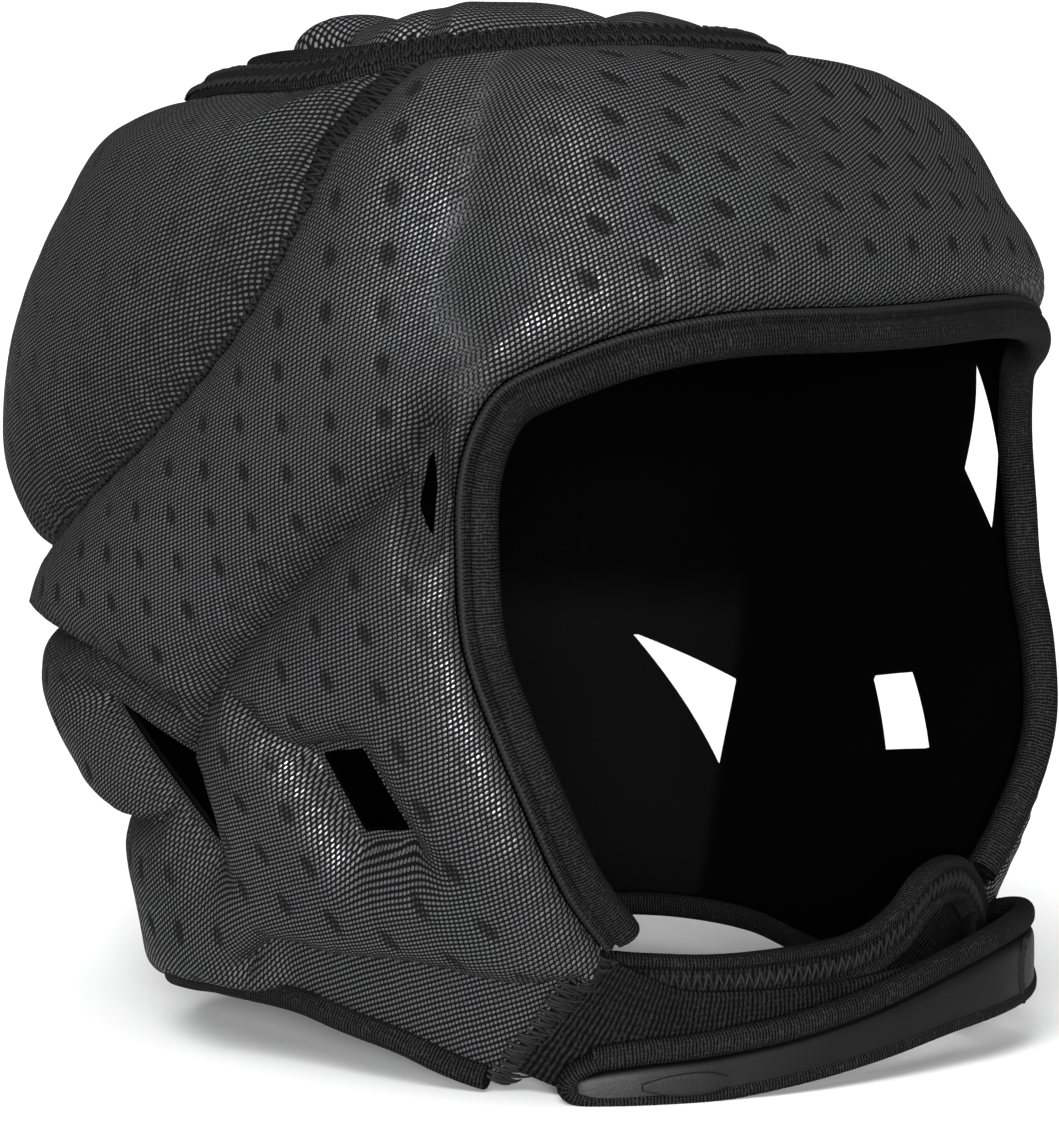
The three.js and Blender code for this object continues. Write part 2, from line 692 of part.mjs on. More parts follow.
// Strap through a list of upper and lower edge points
function strap(rows, thick, steps, flat = false) {
  const at = (value) => {
    const i = Math.min(Math.floor(value), rows.length - 2);
    const t = value - i;
    const p = [rows[Math.max(i - 1, 0)], rows[i], rows[i + 1], rows[Math.min(i + 2, rows.length - 1)]];
    const mix = (name) => {
      const [a, b, c, d] = p.map((row) => row[name]);
      const cubic = (3 * b - 3 * c + d - a) * t ** 3 + (2 * a - 5 * b + 4 * c - d) * t * t;
      return b + 0.5 * ((c - a) * t + cubic);
    };
    const top = new THREE.Vector3(mix('tx'), mix('ty'), mix('tz'));
    const low = new THREE.Vector3(mix('lx'), mix('ly'), mix('lz'));
    return { top, low };
  };
  const count = (rows.length - 1) * steps + 1;
  const span = rows.length - 1;
  const rings = [];
  for (let i = 0; i < count; i += 1) {
    const value = (span * i) / (count - 1);
    const { top, low } = at(value);
    const ahead = at(Math.min(value + 0.02, span));
    const behind = at(Math.max(value - 0.02, 0));
    const along = ahead.top.clone().add(ahead.low).sub(behind.top).sub(behind.low).normalize();
    const up = top.clone().sub(low);
    const half = up.length() / 2;
    up.normalize();
    const out = along.clone().cross(up).normalize();
    const middle = top.clone().add(low).multiplyScalar(0.5);
    rings.push(roundedOutline(half, Math.min(thick / 2, half), flat).map(([t, w]) => (
      middle.clone().addScaledVector(out, t).addScaledVector(up, w))));
  }
  return skin(rings, false);
}

function upright(rows) {
  return rows.map((row) => ({ tx: row.x, ty: row.y, tz: row.top, lx: row.x, ly: row.y, lz: row.low }));
}

// Crown panel: inside the crown opening, narrower along its free sides
function sideShare(at) {
  const side = Math.abs(at);
  return ease((side - FREE_FROM) / FREE_BLEND) * ease((FREE_TO - side) / FREE_BLEND);
}

const CROWN_SEWN_INSET = CROWN_ROLL_WIDTH + 2 * EDGE_GAP + PIECE_GAP;
const CROWN_FREE_INSET = CROWN_SEWN_INSET + CROWN_SLOT + EDGE_ROLL_WIDTH + EDGE_GAP;

function crownInset(at) {
  return CROWN_SEWN_INSET + (CROWN_FREE_INSET - CROWN_SEWN_INSET) * sideShare(at);
}

function crownPanelSide(dir) {
  return -crownSide(dir) - crownInset(anglesOf(dir).at);
}

function crownPadding(dir) {
  const p = onLining(dir);
  const toChannel = Math.min(Math.abs(p.x), Math.abs(p.y - CROWN_SPLIT_Y));
  const side = Math.abs(anglesOf(dir).at);
  const margin = CROWN_REAR_MARGIN * ease((side - 75) / 45) + CROWN_FRONT_MARGIN * ease((75 - side) / 45);
  const toEdge = Math.max(crownPanelSide(dir) - margin, 0);
  return CROWN_PAD_HEIGHT * rounded(Math.min(toChannel, toEdge) / CROWN_PAD_RUN);
}

function crownEdgeRows(inset, fromAt, toAt, count) {
  const rows = [];
  for (let i = 0; i <= count; i += 1) {
    const at = fromAt + ((toAt - fromAt) * i) / count;
    const el = column(CROWN_EDGE, 'at', 'el', Math.abs(at));
    rows.push({ at, el: el + inset(at) / (DEG * liningRadius(dirOf(at, el))) });
  }
  return rows;
}

function pressChannels(net, lines) {
  settleChannels(net, lines, CHANNEL_REACH);
  for (const line of lines) splitAlong(net, line);
}

// Channels between the four crown pads: one from front to back, one across
function crownLine(place) {
  const line = [];
  for (let k = 0; k <= 24; k += 1) {
    const [x, y] = place(CROWN_REACH * (k / 12 - 1));
    const dir = new THREE.Vector3(x, y, CROWN_RISE).normalize();
    for (let pass = 0; pass < 4; pass += 1) {
      dir.set(x, y, onLining(dir).z - CENTRE_HEIGHT).normalize();
    }
    line.push(onLining(dir));
  }
  return line;
}

const crownChannels = [crownLine((run) => [0, run]), crownLine((run) => [run, CROWN_SPLIT_Y])];

// Build
const net = directionNet(MESH_DETAIL);
let frontNet = trim(net, crownSide);
frontNet = trim(frontNet, faceSide);
frontNet = trim(frontNet, rimSide);
frontNet = trim(frontNet, (dir) => seamSide(dir) - SEAM_GAP);
pressChannels(frontNet, channels.map((channel) => channel.line));
let rearNet = trim(net, crownSide);
rearNet = trim(rearNet, (dir) => -seamSide(dir) - SEAM_GAP);
pressChannels(rearNet, channels.map((channel) => channel.line));
const crownNet = trim(net, crownPanelSide);
pressChannels(crownNet, crownChannels);

const group = new THREE.Group();
group.name = 'soft_shell_helmet';

function addPiece(name, geometry, look) {
  geometry.translate(0, REST_SHIFT_Y, 0);
  const material = new THREE.MeshStandardMaterial({ color: look.color, roughness: look.roughness, metalness: 0 });
  const mesh = new THREE.Mesh(geometry, material);
  mesh.name = name;
  group.add(mesh);
}

const wasm = await ManifoldModule();
wasm.setup();

function toManifold(geometry) {
  const vertProperties = new Float32Array(geometry.getAttribute('position').array);
  const triVerts = new Uint32Array(geometry.index.array);
  return new wasm.Manifold(new wasm.Mesh({ numProp: 3, vertProperties, triVerts }));
}

function fromManifold(body) {
  const mesh = body.getMesh();
  const geometry = new THREE.BufferGeometry();
  geometry.setAttribute('position', new THREE.Float32BufferAttribute(mesh.vertProperties, 3));
  geometry.setIndex(Array.from(mesh.triVerts));
  geometry.computeVertexNormals();
  return geometry;
}

// Straight-sided cutter for one vent, wider than the wall is thick
function ventCutter(rows) {
  const inner = rows.map((row) => onLining(dirOf(row.at, row.el), -VENT_CUT_IN));
  const outer = rows.map((row) => onLining(dirOf(row.at, row.el), VENT_CUT_OUT));
  return skin([inner, outer], false);
}

let frontBody = toManifold(shell(frontNet, padding));
for (const vent of vents) frontBody = frontBody.subtract(toManifold(ventCutter(vent.rows)));
addPiece('front_panel', fromManifold(frontBody), LOOK.mesh);
addPiece('rear_panel', shell(rearNet, padding), LOOK.mesh);
addPiece('crown_panel', shell(crownNet, crownPadding), LOOK.mesh);

const faceRows = [...trace(FACE_EDGE).reverse(), ...mirrored(trace(FACE_EDGE)).slice(1)];
addPiece('face_binding', roll(faceRows, 56, false, FACE_ROLL_WIDTH, FACE_ROLL_THICK, 1, FACE_GAP), LOOK.binding);

function rimRows(fromAt, toAt, count) {
  const rows = [];
  for (let i = 0; i <= count; i += 1) {
    const at = fromAt + ((toAt - fromAt) * i) / count;
    let low = -70;
    let high = 0;
    for (let pass = 0; pass < 30; pass += 1) {
      const mid = (low + high) / 2;
      if (rimSide(dirOf(at, mid)) > 0) high = mid;
      else low = mid;
    }
    rows.push({ at, el: (low + high) / 2 });
  }
  return rows;
}

const neckRows = rimRows(50.5, 309.5, 130).map((row) => ({ at: row.at > 180 ? row.at - 360 : row.at, el: row.el }));
addPiece('neck_binding', roll(neckRows, 48, false, NECK_ROLL_WIDTH, NECK_ROLL_THICK, -1, EDGE_GAP, true), LOOK.binding);

const crownRows = crownEdgeRows(() => 0, -180, 180, 120).slice(0, -1);
addPiece('crown_binding', roll(crownRows, 44, true, CROWN_ROLL_WIDTH, CROWN_ROLL_THICK, 1, EDGE_GAP), LOOK.binding);

const edgeInset = (at) => crownInset(at) - EDGE_ROLL_WIDTH - 2 * EDGE_GAP;
const EDGE_FROM = 72;
const EDGE_TO = 118;
const edgeRight = crownEdgeRows(edgeInset, EDGE_FROM, EDGE_TO, 24);
const edgeLeft = crownEdgeRows(edgeInset, -EDGE_FROM, -EDGE_TO, 24);
addPiece('crown_edge_right', roll(edgeRight, 16, false, EDGE_ROLL_WIDTH, EDGE_ROLL_THICK, 1, 0), LOOK.binding);
addPiece('crown_edge_left', roll(edgeLeft, 16, false, EDGE_ROLL_WIDTH, EDGE_ROLL_THICK, -1, 0), LOOK.binding);

addPiece('strap_base', strap(STRAP_BASE, STRAP_BASE_THICK, 4), LOOK.knit);
addPiece('inner_strap', strap(upright(INNER_STRAP), INNER_STRAP_THICK, 3), LOOK.binding);
addPiece('outer_tab', strap(upright(OUTER_TAB), TAB_THICK, 3, true), LOOK.tab);
const bindingRows = OUTER_TAB.slice(1).map((row) => ({
  ...row, low: row.top + PIECE_GAP, top: row.top + PIECE_GAP + TAB_BINDING_HEIGHT,
}));
addPiece('tab_binding', strap(upright(bindingRows), TAB_BINDING_THICK, 3), LOOK.binding);

addPiece('tab_patch', strap(upright(TAB_PATCH), PATCH_THICK, 3), LOOK.patch);

export default group;
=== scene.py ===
import math

import bpy
import numpy as np
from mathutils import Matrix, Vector


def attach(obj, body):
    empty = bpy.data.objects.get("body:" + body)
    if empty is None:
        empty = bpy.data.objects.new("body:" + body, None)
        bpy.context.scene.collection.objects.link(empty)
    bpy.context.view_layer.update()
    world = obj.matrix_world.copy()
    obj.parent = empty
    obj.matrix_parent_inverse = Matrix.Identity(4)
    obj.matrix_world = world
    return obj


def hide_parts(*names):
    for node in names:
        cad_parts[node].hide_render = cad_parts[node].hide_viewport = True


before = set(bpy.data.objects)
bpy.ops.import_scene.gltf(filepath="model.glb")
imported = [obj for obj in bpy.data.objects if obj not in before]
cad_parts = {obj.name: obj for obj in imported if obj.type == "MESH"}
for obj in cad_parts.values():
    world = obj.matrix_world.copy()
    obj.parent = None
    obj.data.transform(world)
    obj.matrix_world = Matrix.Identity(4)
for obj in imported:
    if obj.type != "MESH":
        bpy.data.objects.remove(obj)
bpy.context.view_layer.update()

# Sizes in millimetres, in the part's own frame before it is centred on its footprint
MM = 0.001
DEG = math.pi / 180
SHIFT_Y = -2.84
CENTRE = np.array([0.0, 0.0, 108.0])
FABRIC = 3.0
# Steps along each edge of the net's first twenty triangles
NET_DETAIL = 104
# Rounded pad edge over the rim and round each vent, flat margin and sunk lip of a vent
RIM_RUN = 10.0
VENT_RUN = {"kite_right": 9.0, "kite_left": 24.0, "rhombus": 10.0, "triangle": 20.0}
VENT_MARGIN, VENT_LIP, VENT_LIP_RUN, VENT_STEPS = 2.5, 1.8, 9.0, 10
# The empty soft top leans to the wearer's left
LEAN, LEAN_FROM, LEAN_TO = 0.07, 20.0, 55.0
# Puckers beside stitching: distance of their crest, its width and reach, waves along it and their wander
PUCKER_AT, PUCKER_WIDE, PUCKER_REACH = 3.5, 3.0, 12.0
PUCKER_WAVE, PUCKER_WANDER, PUCKER_DRIFT = 0.95, 2.0, 0.13
# Reach of a channel beyond its run, for its tape
CHANNEL_SPARE = 3
# Slack of the cloth: height, length of its waves, seed
SLACK = [(0.35, 30.0, 11), (0.14, 12.0, 12)]
# Fullest place of the forehead pad on each side: bearing, elevation, extra height, reach
BULGE_AT, BULGE_EL, BULGE_HEIGHT, BULGE_REACH = 42.0, 40.0, 4.0, 20.0
# Bearing over which the unpadded rim of the cheek fades into the padded nape
FLAT_END = 9.0

# Lining radius from the head centre, squareness of each half in plan, pad height over the channels
SECTION_COLUMNS = ("el", "front", "side", "back", "sqF", "sqB", "padF", "padS", "padB")
SECTIONS = np.array([
    (-60, 138, 123, 127, 2.5, 2.2, 9, 7.5, 7),
    (-40, 116, 100, 89.5, 3, 2.2, 10, 8, 8.5),
    (-20, 109, 91.5, 91, 4.6, 2.2, 10, 9, 11),
    (0, 105, 87.5, 96, 5.6, 2.2, 10, 8.5, 12),
    (18, 112, 90.5, 103, 3.5, 2.2, 12, 8.5, 12.5),
    (32, 110.5, 97, 101, 2.3, 2.2, 12, 9, 12),
    (46, 109, 105, 101.5, 2.25, 2.1, 12.5, 9, 11.5),
    (60, 113, 107.5, 103.5, 2, 2, 9, 8, 9),
    (75, 101.5, 99, 94, 2, 2, 9, 8, 9),
    (90, 97, 97, 97, 2, 2, 9, 8, 9),
])

# Curves on the lining: bearing from the front toward the wearer's right, elevation
FACE_EDGE = [
    (0, 26.5), (20, 26), (33, 24.3), (42.5, 21.7), (48.5, 19.3), (51.6, 15.2), (53.2, 9.3),
    (53.2, 1.1), (52.4, -7.2), (49.5, -15), (46.5, -21.6), (42, -31), (37, -37.5),
]
CHEEK_END = [(37, -37.5), (44, -46), (50.6, -53)]
UNDER_CHIN = [(62, -80), (-62, -80)]
CROWN_EDGE = [
    (0, 60.2), (20, 60.6), (37, 60.4), (55, 59.4), (69, 57.6), (77, 55.6), (89, 53.6), (107, 52.8),
    (132, 51.6), (155, 51), (180, 51),
]
SEAM = [
    (67.3, 58.6), (72, 51), (76.3, 45.6), (78.6, 38.6), (84.2, 30.3), (93, 22), (102, 14.2),
    (111, 8.4), (123, 1.6), (138, -3.5), (158, -6.5), (180, -7.5),
]
RIM = [
    (40, 6), (50, 6.4), (56, 8.6), (64, 12.5), (75, 15.5), (84, 18), (95, 19), (110, 19),
    (125, 17.5), (140, 13.5), (152, 10), (163, 7.4), (172, 6.4), (180, 6.4),
]
FOREHEAD_FOLD = [
    (41, 59.5), (50.6, 54), (52, 47), (52.6, 40.7), (55, 32.3), (55.6, 27.2), (51.8, 22.8),
]
SIDE_CHANNEL = [(54.4, 15.4), (62.4, 7.8), (69.6, 1.8), (79.5, -7.6), (87, -14.6), (95.6, -25)]
SIDE_END = [(95, -19.8), (103, -17), (115, -13.6), (136, -12.4), (158, -13.5), (180, -14)]
EAR_FOLD = [(72.6, -23), (77.6, -20.7), (83.5, -17.3), (87, -14.6)]
NAPE_CHANNEL = [(97, -34.5), (104, -33.5), (111, -35.2), (130, -36), (155, -37), (180, -38)]
LOW_CHANNEL = [(40, -40), (46.4, -42), (59.7, -43.4), (74.6, -45.9), (86.4, -46.4), (94, -49)]
BACK_LINE = [(180, 50), (180, 20), (180, -10), (180, -52)]
# Share of the pad height taken away, run of the rounded pad edge, pucker along it, how gently it starts
CHANNELS = [
    (FOREHEAD_FOLD, 0.55, 24, 0.1, 1.9), (SIDE_CHANNEL, 1, 14, 0.3, 1.15), (SIDE_END, 1, 14, 0.3, 1),
    (EAR_FOLD, 0.8, 10, 0.3, 1), (NAPE_CHANNEL, 1, 12, 0.3, 1), (LOW_CHANNEL, 1, 12, 0.25, 1.2),
    (BACK_LINE, 0.35, 14, 0.2, 1.5), (SEAM, 1, 22, 0.3, 1.1), (CROWN_EDGE, 1, 22, 0.35, 1.8),
    (FACE_EDGE, 1, 19, 0.3, 1.1),
]
# Painted shade that darkens the cloth's tone beside a channel, as a share of it, or painted light that
# brightens it where the share is negative; reach in runs
SHADE = [
    (SEAM, 0.6), (SIDE_CHANNEL, 0.5), (SIDE_END, 0.5), (NAPE_CHANNEL, 0.4), (CROWN_EDGE, 0.15),
    (LOW_CHANNEL, -0.3),
]
SHADE_REACH, SEAM_SHADE_FRONT = 1.7, 0.65
# Flat floor beside the diagonal seam, wide at the crown and narrow lower down
TAPE_HALF, TAPE_HALF_LOW = 3.3, 0.8
TAPE_FROM, TAPE_TO = 14.0, 50.0
VENTS = {
    "kite_right": [(55.9, 14.6), (57.4, 7.4), (55.8, 3.6), (55.2, 9.4)],
    "kite_left": [(-55.2, 20), (-59.8, 5), (-55.6, -3), (-54.2, 7)],
    "rhombus": [(72.4, -23), (65.6, -21), (59.6, -29), (66.8, -31.4)],
    "triangle": [(116, -20.5), (97, -26.5), (97.4, -38)],
}
# Chin strap: upper and lower edge of each section (x, y, z), or one upright section (x, y, low, top)
STRAP_BASE = [
    ((-57.6, -76.8, 30.6), (-60.7, -53.2, 5.8)), ((-49.5, -81.4, 26), (-53.4, -69.4, 0.4)),
    ((-40, -85.4, 22), (-41, -79.8, 1.4)), ((-20, -91, 20.5), (-20, -90, 5.5)),
    ((0, -94.4, 20.5), (0, -94, 7)), ((20, -95.9, 22), (20, -95.8, 9)),
    ((38, -93.4, 24), (38.5, -92, 9)), ((49.5, -86, 26.5), (52.6, -76, 4)),
    ((57.6, -77, 31.5), (60.9, -54, 5.8)), ((60.4, -69, 35), (62.6, -46, 8)),
]
INNER_STRAP = [
    (-58.1, -61.9, 20, 30), (-51.3, -71.3, 19.5, 29.5), (-43, -77.8, 18.5, 28.5),
    (-30, -84.4, 17.8, 27.5), (-12, -88.8, 17.5, 27.5), (5, -90.3, 19, 28.5), (18, -90.2, 23, 32.5),
    (29, -88, 28.6, 38), (39, -85.6, 31, 40), (48, -83.4, 29.4, 38.6), (55.5, -81, 23, 32.6),
    (60.5, -77.6, 16.5, 26), (63.5, -71, 13, 22.5), (64.6, -63.2, 12, 21.5),
]
OUTER_TAB = [
    (-60.5, -71.6, 1.5, 4), (-58, -75, -0.6, 6), (-50, -81.8, -0.6, 7.4), (-38, -88.8, 0, 8.3),
    (-20, -95.8, 2, 10.5), (0, -99.6, 4.6, 14), (20, -101, 7.6, 18.6), (38, -100.4, 9.4, 22.4),
    (53, -95.6, 10.6, 24), (62.6, -88, 13, 24), (67.6, -79.4, 15.4, 22.6), (70, -71, 13.4, 20),
    (71.6, -63.4, 10, 16.6),
]
TAB_PATCH = [
    (-52.6, -84, 3, 4.4), (-48.6, -86.6, 1.9, 5.6), (-44.6, -89, 1.6, 6.2), (-40.6, -91.2, 1.9, 6.2),
    (-36.8, -93, 3, 5.2),
]


# Smooth steps, directions and smooth tables
def rounded(t):
    return np.where(t >= 1, 1.0, np.maximum(1 - (1 - np.clip(t, 0, 1)) ** 2, 0) ** 0.6)


def ease(t):
    t = np.clip(t, 0, 1)
    return t * t * (3 - 2 * t)


def unit(v):
    return v / np.linalg.norm(v, axis=-1, keepdims=True)


def dir_of(at, el):
    at = np.asarray(at, float) * DEG
    el = np.asarray(el, float) * DEG
    c = np.cos(el)
    return np.stack([-np.sin(at) * c, -np.cos(at) * c, np.sin(el)], axis=-1)


def angles_of(dirs):
    at = np.arctan2(-dirs[..., 0], -dirs[..., 1]) / DEG
    el = np.arctan2(dirs[..., 2], np.hypot(dirs[..., 0], dirs[..., 1])) / DEG
    return at, el


def column(keys, values, q):
    b = np.arange(1, len(keys))
    a = np.maximum(b - 2, 0)
    slope = np.append((values[b] - values[a]) / (keys[b] - keys[a]), 0.0)
    q = np.clip(q, keys[0], keys[-1])
    i = np.clip(np.searchsorted(keys, q, side="right") - 1, 0, len(keys) - 2)
    h = keys[i + 1] - keys[i]
    t = (q - keys[i]) / h
    rise = (1 + 2 * t) * (1 - t) ** 2 * values[i] + t * t * (3 - 2 * t) * values[i + 1]
    return rise + t * (1 - t) ** 2 * h * slope[i] + t * t * (t - 1) * h * slope[i + 1]


def section(name, el):
    return column(SECTIONS[:, 0], SECTIONS[:, SECTION_COLUMNS.index(name)], el)


def table(rows, q):
    return column(*np.asarray(rows, float).T, q)


def lining_radius(dirs):
    at, el = angles_of(dirs)
    c = np.cos(at * DEG)
    s = np.abs(np.sin(at * DEG))
    ahead = np.where(c > 0, section("front", el), section("back", el))
    n = np.where(c > 0, section("sqF", el), section("sqB", el))
    side = section("side", el)
    return ((np.abs(c) / ahead) ** n + (s / side) ** n) ** (-1 / n)


def on_lining(dirs, lift=0.0):
    points = CENTRE + dirs * (lining_radius(dirs) + lift)[..., None]
    points[..., 2] -= LEAN * points[..., 0] * ease((angles_of(dirs)[1] - LEAN_FROM) / (LEAN_TO - LEAN_FROM))
    return points


def pad_height(dirs):
    at, el = angles_of(dirs)
    c = np.cos(at * DEG)
    end = np.where(c > 0, section("padF", el), section("padB", el))
    side = section("padS", el)
    return side + (end - side) * c * c


def catmull(rows, steps):
    rows = np.asarray(rows, float)
    padded = np.vstack([rows[:1], rows, rows[-1:]])
    a, b, c, d = (padded[k:k + len(rows) - 1, None] for k in range(4))
    t = np.array([k / steps for k in range(steps)])[:, None]
    cubic = (3 * b - 3 * c + d - a) * t ** 3 + (2 * a - 5 * b + 4 * c - d) * t * t
    curve = b + 0.5 * ((c - a) * t + cubic)
    return np.vstack([curve.reshape(-1, rows.shape[1]), rows[-1:]])


def mirrored(rows):
    rows = np.asarray(rows, float)
    return np.stack([-rows[:, 0], rows[:, 1]], axis=1)


def both_sides(rows):
    return np.asarray(rows, float), mirrored(rows)


def line_on_lining(rows):
    return on_lining(dir_of(*catmull(rows, 6).T))


# Distance to a polyline and the run along it, for points within reach of it
def distance(line, points, reach=1e9):
    best, along = np.full(len(points), np.inf), np.zeros(len(points))
    low, high = line.min(axis=0) - reach, line.max(axis=0) + reach
    near = ((points > low) & (points < high)).all(axis=1)
    p, d_best, s_best = points[near], best[near], along[near]
    start = 0.0
    for a, b in zip(line[:-1], line[1:]):
        run = b - a
        length = np.linalg.norm(run)
        if length < 1e-9:
            continue
        t = np.clip((p - a) @ run / length ** 2, 0, 1)
        d = np.linalg.norm(p - (a + t[:, None] * run), axis=1)
        closer = d < d_best
        d_best = np.where(closer, d, d_best)
        s_best = np.where(closer, start + t * length, s_best)
        start += length
    best[near] = d_best
    along[near] = s_best
    return best, along


def inside(rows, at, el):
    rows = np.asarray(rows, float)
    hit = np.zeros(len(at), bool)
    for a, b in zip(rows, np.roll(rows, 1, axis=0)):
        crosses = (a[1] > el) != (b[1] > el)
        rise = b[1] - a[1] if abs(b[1] - a[1]) > 1e-9 else 1e-9
        hit ^= crosses & (at < (b[0] - a[0]) * (el - a[1]) / rise + a[0])
    return hit


# Curves on both sides
opening_right = np.vstack([catmull(FACE_EDGE, 6), catmull(CHEEK_END, 6)])
opening_rows = np.vstack([opening_right, UNDER_CHIN, mirrored(opening_right)[::-1]])
opening_lines = [on_lining(dir_of(*rows.T)) for rows in both_sides(opening_right)]
seam_lines = [line_on_lining(rows) for rows in both_sides(SEAM)]
vents = []
for vent_name, vent_rows in VENTS.items():
    both = both_sides(vent_rows)
    for rows in both[:1] if vent_name.startswith("kite") else both:
        steps = np.arange(VENT_STEPS)[:, None] / VENT_STEPS
        edges = [a + (b - a) * steps for a, b in zip(rows, np.roll(rows, -1, axis=0))]
        edges = np.vstack(edges + [rows[:1]])
        vents.append((rows, on_lining(dir_of(*edges.T)), VENT_RUN[vent_name]))
channels = []
for rows, depth, run, pucker, slope in CHANNELS:
    for side_rows in both_sides(rows):
        channels.append((line_on_lining(side_rows), depth, run, pucker, slope, rows is SEAM))
shades = []
for rows, loss in SHADE:
    reach = SHADE_REACH * next(run for other, _, run, _, _ in CHANNELS if other is rows)
    for side_rows in both_sides(rows):
        shades.append((line_on_lining(side_rows), loss, reach, rows is SEAM))


# Signed sides of the edges, positive on the kept side, exact only near the edge
EDGE_REACH, VENT_REACH, FAR = 8.0, 5.0, 50.0
# Slope by which the seam's line runs on ahead of its first point
SEAM_STEEP = 3


def nearest(lines, dirs):
    p = on_lining(dirs)
    return np.minimum(np.minimum(*(distance(line, p, EDGE_REACH)[0] for line in lines)), FAR)


def face_side(dirs):
    at, el = angles_of(dirs)
    d = nearest(opening_lines, dirs)
    return np.where(inside(opening_rows, at, el), -d, d)


def rim_side(dirs):
    at, _ = angles_of(dirs)
    return on_lining(dirs)[:, 2] - table(RIM, np.abs(at))


def crown_side(dirs):
    at, el = angles_of(dirs)
    return (table(CROWN_EDGE, np.abs(at)) - el) * DEG * lining_radius(dirs)


def seam_side(dirs):
    at, el = angles_of(dirs)
    d = nearest(seam_lines, dirs)
    steep = SEAM[0][1] + (SEAM[0][0] - np.abs(at)) * SEAM_STEEP
    level = np.where(np.abs(at) < SEAM[0][0], steep, table(SEAM, np.abs(at)))
    return np.where(el > level, -d, d)


def vent_side(vent, dirs):
    rows, line, run = vent
    at, el = angles_of(dirs)
    d = np.minimum(distance(line, on_lining(dirs), run + VENT_REACH)[0], FAR)
    return np.where(inside(rows, at, el), -d, d)


def tape_half(along):
    return TAPE_HALF + (TAPE_HALF_LOW - TAPE_HALF) * ease((along - TAPE_FROM) / (TAPE_TO - TAPE_FROM))


# Soft unevenness of the foam: plane waves of about one length, from -1 to 1
WAVE_COUNT, WAVE_SPREAD, WAVE_PHASES = 10, (0.8, 1.4), 6.28


def waves(points, length, seed):
    rng = np.random.default_rng(seed)
    total = np.zeros(len(points))
    for _ in range(WAVE_COUNT):
        k = unit(rng.normal(size=3)) * 2 * math.pi / (length * rng.uniform(*WAVE_SPREAD))
        total += np.sin(points @ k + rng.uniform(0, WAVE_PHASES))
    return total / (WAVE_COUNT / 2)


def padding(dirs):
    at, el = angles_of(dirs)
    p = on_lining(dirs)
    side = np.abs(at)
    share = rounded(np.maximum(rim_side(dirs), 0) / RIM_RUN)
    gather = np.zeros(len(p))
    lip = np.zeros(len(p))
    for line, depth, run, pucker, slope, taped in channels:
        d, along = distance(line, p, run + CHANNEL_SPARE)
        crest = np.exp(-((d - PUCKER_AT) / PUCKER_WIDE) ** 2)
        sway = np.sin(along * PUCKER_WAVE + PUCKER_WANDER * np.sin(along * PUCKER_DRIFT))
        gather += np.where(d < PUCKER_REACH, pucker * crest * sway, 0)
        if taped:
            d = np.maximum(d - tape_half(along), 0)
        rise = rounded(d / run) ** slope
        share = np.where(d < run, np.minimum(share, 1 - depth * (1 - rise)), share)
    for vent in vents:
        d = np.maximum(vent_side(vent, dirs) - VENT_MARGIN, 0)
        share = np.where(d < vent[2], np.minimum(share, rounded(d / vent[2])), share)
        lip += VENT_LIP * (1 - ease(d / VENT_LIP_RUN))
    flat = (side > LOW_CHANNEL[0][0]) & (el < table(LOW_CHANNEL, side))
    flat = flat * ease((LOW_CHANNEL[-1][0] - side) / FLAT_END)
    slack = sum(high * waves(p, length, seed) for high, length, seed in SLACK)
    lip = np.minimum(lip, VENT_LIP)
    full = on_lining(dir_of([BULGE_AT, -BULGE_AT], [BULGE_EL, BULGE_EL]))
    reach = np.minimum(*(np.linalg.norm(p - centre, axis=1) for centre in full)) / BULGE_REACH
    slack = slack + BULGE_HEIGHT * np.exp(-reach ** 2)
    gather = gather * (1 - lip / VENT_LIP)
    soft = pad_height(dirs) * share + gather + slack * np.minimum(share * 2, 1)
    return (soft - lip) * (1 - flat)


# Painted shade beside the channels and painted light beside the lower channel, as a share of each point's
# tone
def pressed(dirs, beside_seam):
    p = on_lining(dirs)
    loss = np.zeros(len(p))
    for line, most, reach, at_seam in shades:
        near = most * (beside_seam if at_seam else 1) * (1 - ease(distance(line, p, reach)[0] / reach))
        loss = np.maximum(loss, near) if most > 0 else loss + near
    return loss


# Even net of directions over the whole head, and its trimming along an edge
def direction_net(freq):
    g = (1 + 5 ** 0.5) / 2
    corners = [np.roll((x, y * g, 0.0), k) for k in range(3) for y in (1, -1) for x in (-1, 1)]
    faces = [
        (0, 11, 5), (0, 5, 1), (0, 1, 7), (0, 7, 10), (0, 10, 11), (1, 5, 9), (5, 11, 4), (11, 10, 2),
        (10, 7, 6), (7, 1, 8), (3, 9, 4), (3, 4, 2), (3, 2, 6), (3, 6, 8), (3, 8, 9), (4, 9, 5),
        (2, 4, 11), (6, 2, 10), (8, 6, 7), (9, 8, 1),
    ]
    i, j = np.meshgrid(np.arange(freq + 1), np.arange(freq + 1), indexing="ij")
    keep = i + j <= freq
    gi, gj = i[keep], j[keep]
    index = np.full((freq + 1, freq + 1), -1)
    index[gi, gj] = np.arange(len(gi))
    small = []
    for r in range(freq):
        for c in range(freq - r):
            small.append((index[r, c], index[r + 1, c], index[r, c + 1]))
            if c < freq - r - 1:
                small.append((index[r + 1, c], index[r + 1, c + 1], index[r, c + 1]))
    small = np.array(small)
    points, tris = [], []
    for n, (a, b, c) in enumerate(faces):
        grid = np.outer(freq - gi - gj, corners[a]) + np.outer(gi, corners[b]) + np.outer(gj, corners[c])
        points.append(unit(grid))
        tris.append(small + n * len(gi))
    points = np.vstack(points)
    tris = np.vstack(tris)
    _, first, back = np.unique(np.round(points, 6), axis=0, return_index=True, return_inverse=True)
    return points[first], back.reshape(-1)[tris]


# Rounds, probing step, longest step, distance that counts as on the edge (mm), furthest move
SETTLE_ROUNDS, SETTLE_PROBE, SETTLE_MOST, SETTLE_ON, SETTLE_FAR = 3, 0.001, 1e-4, 0.08, 0.008


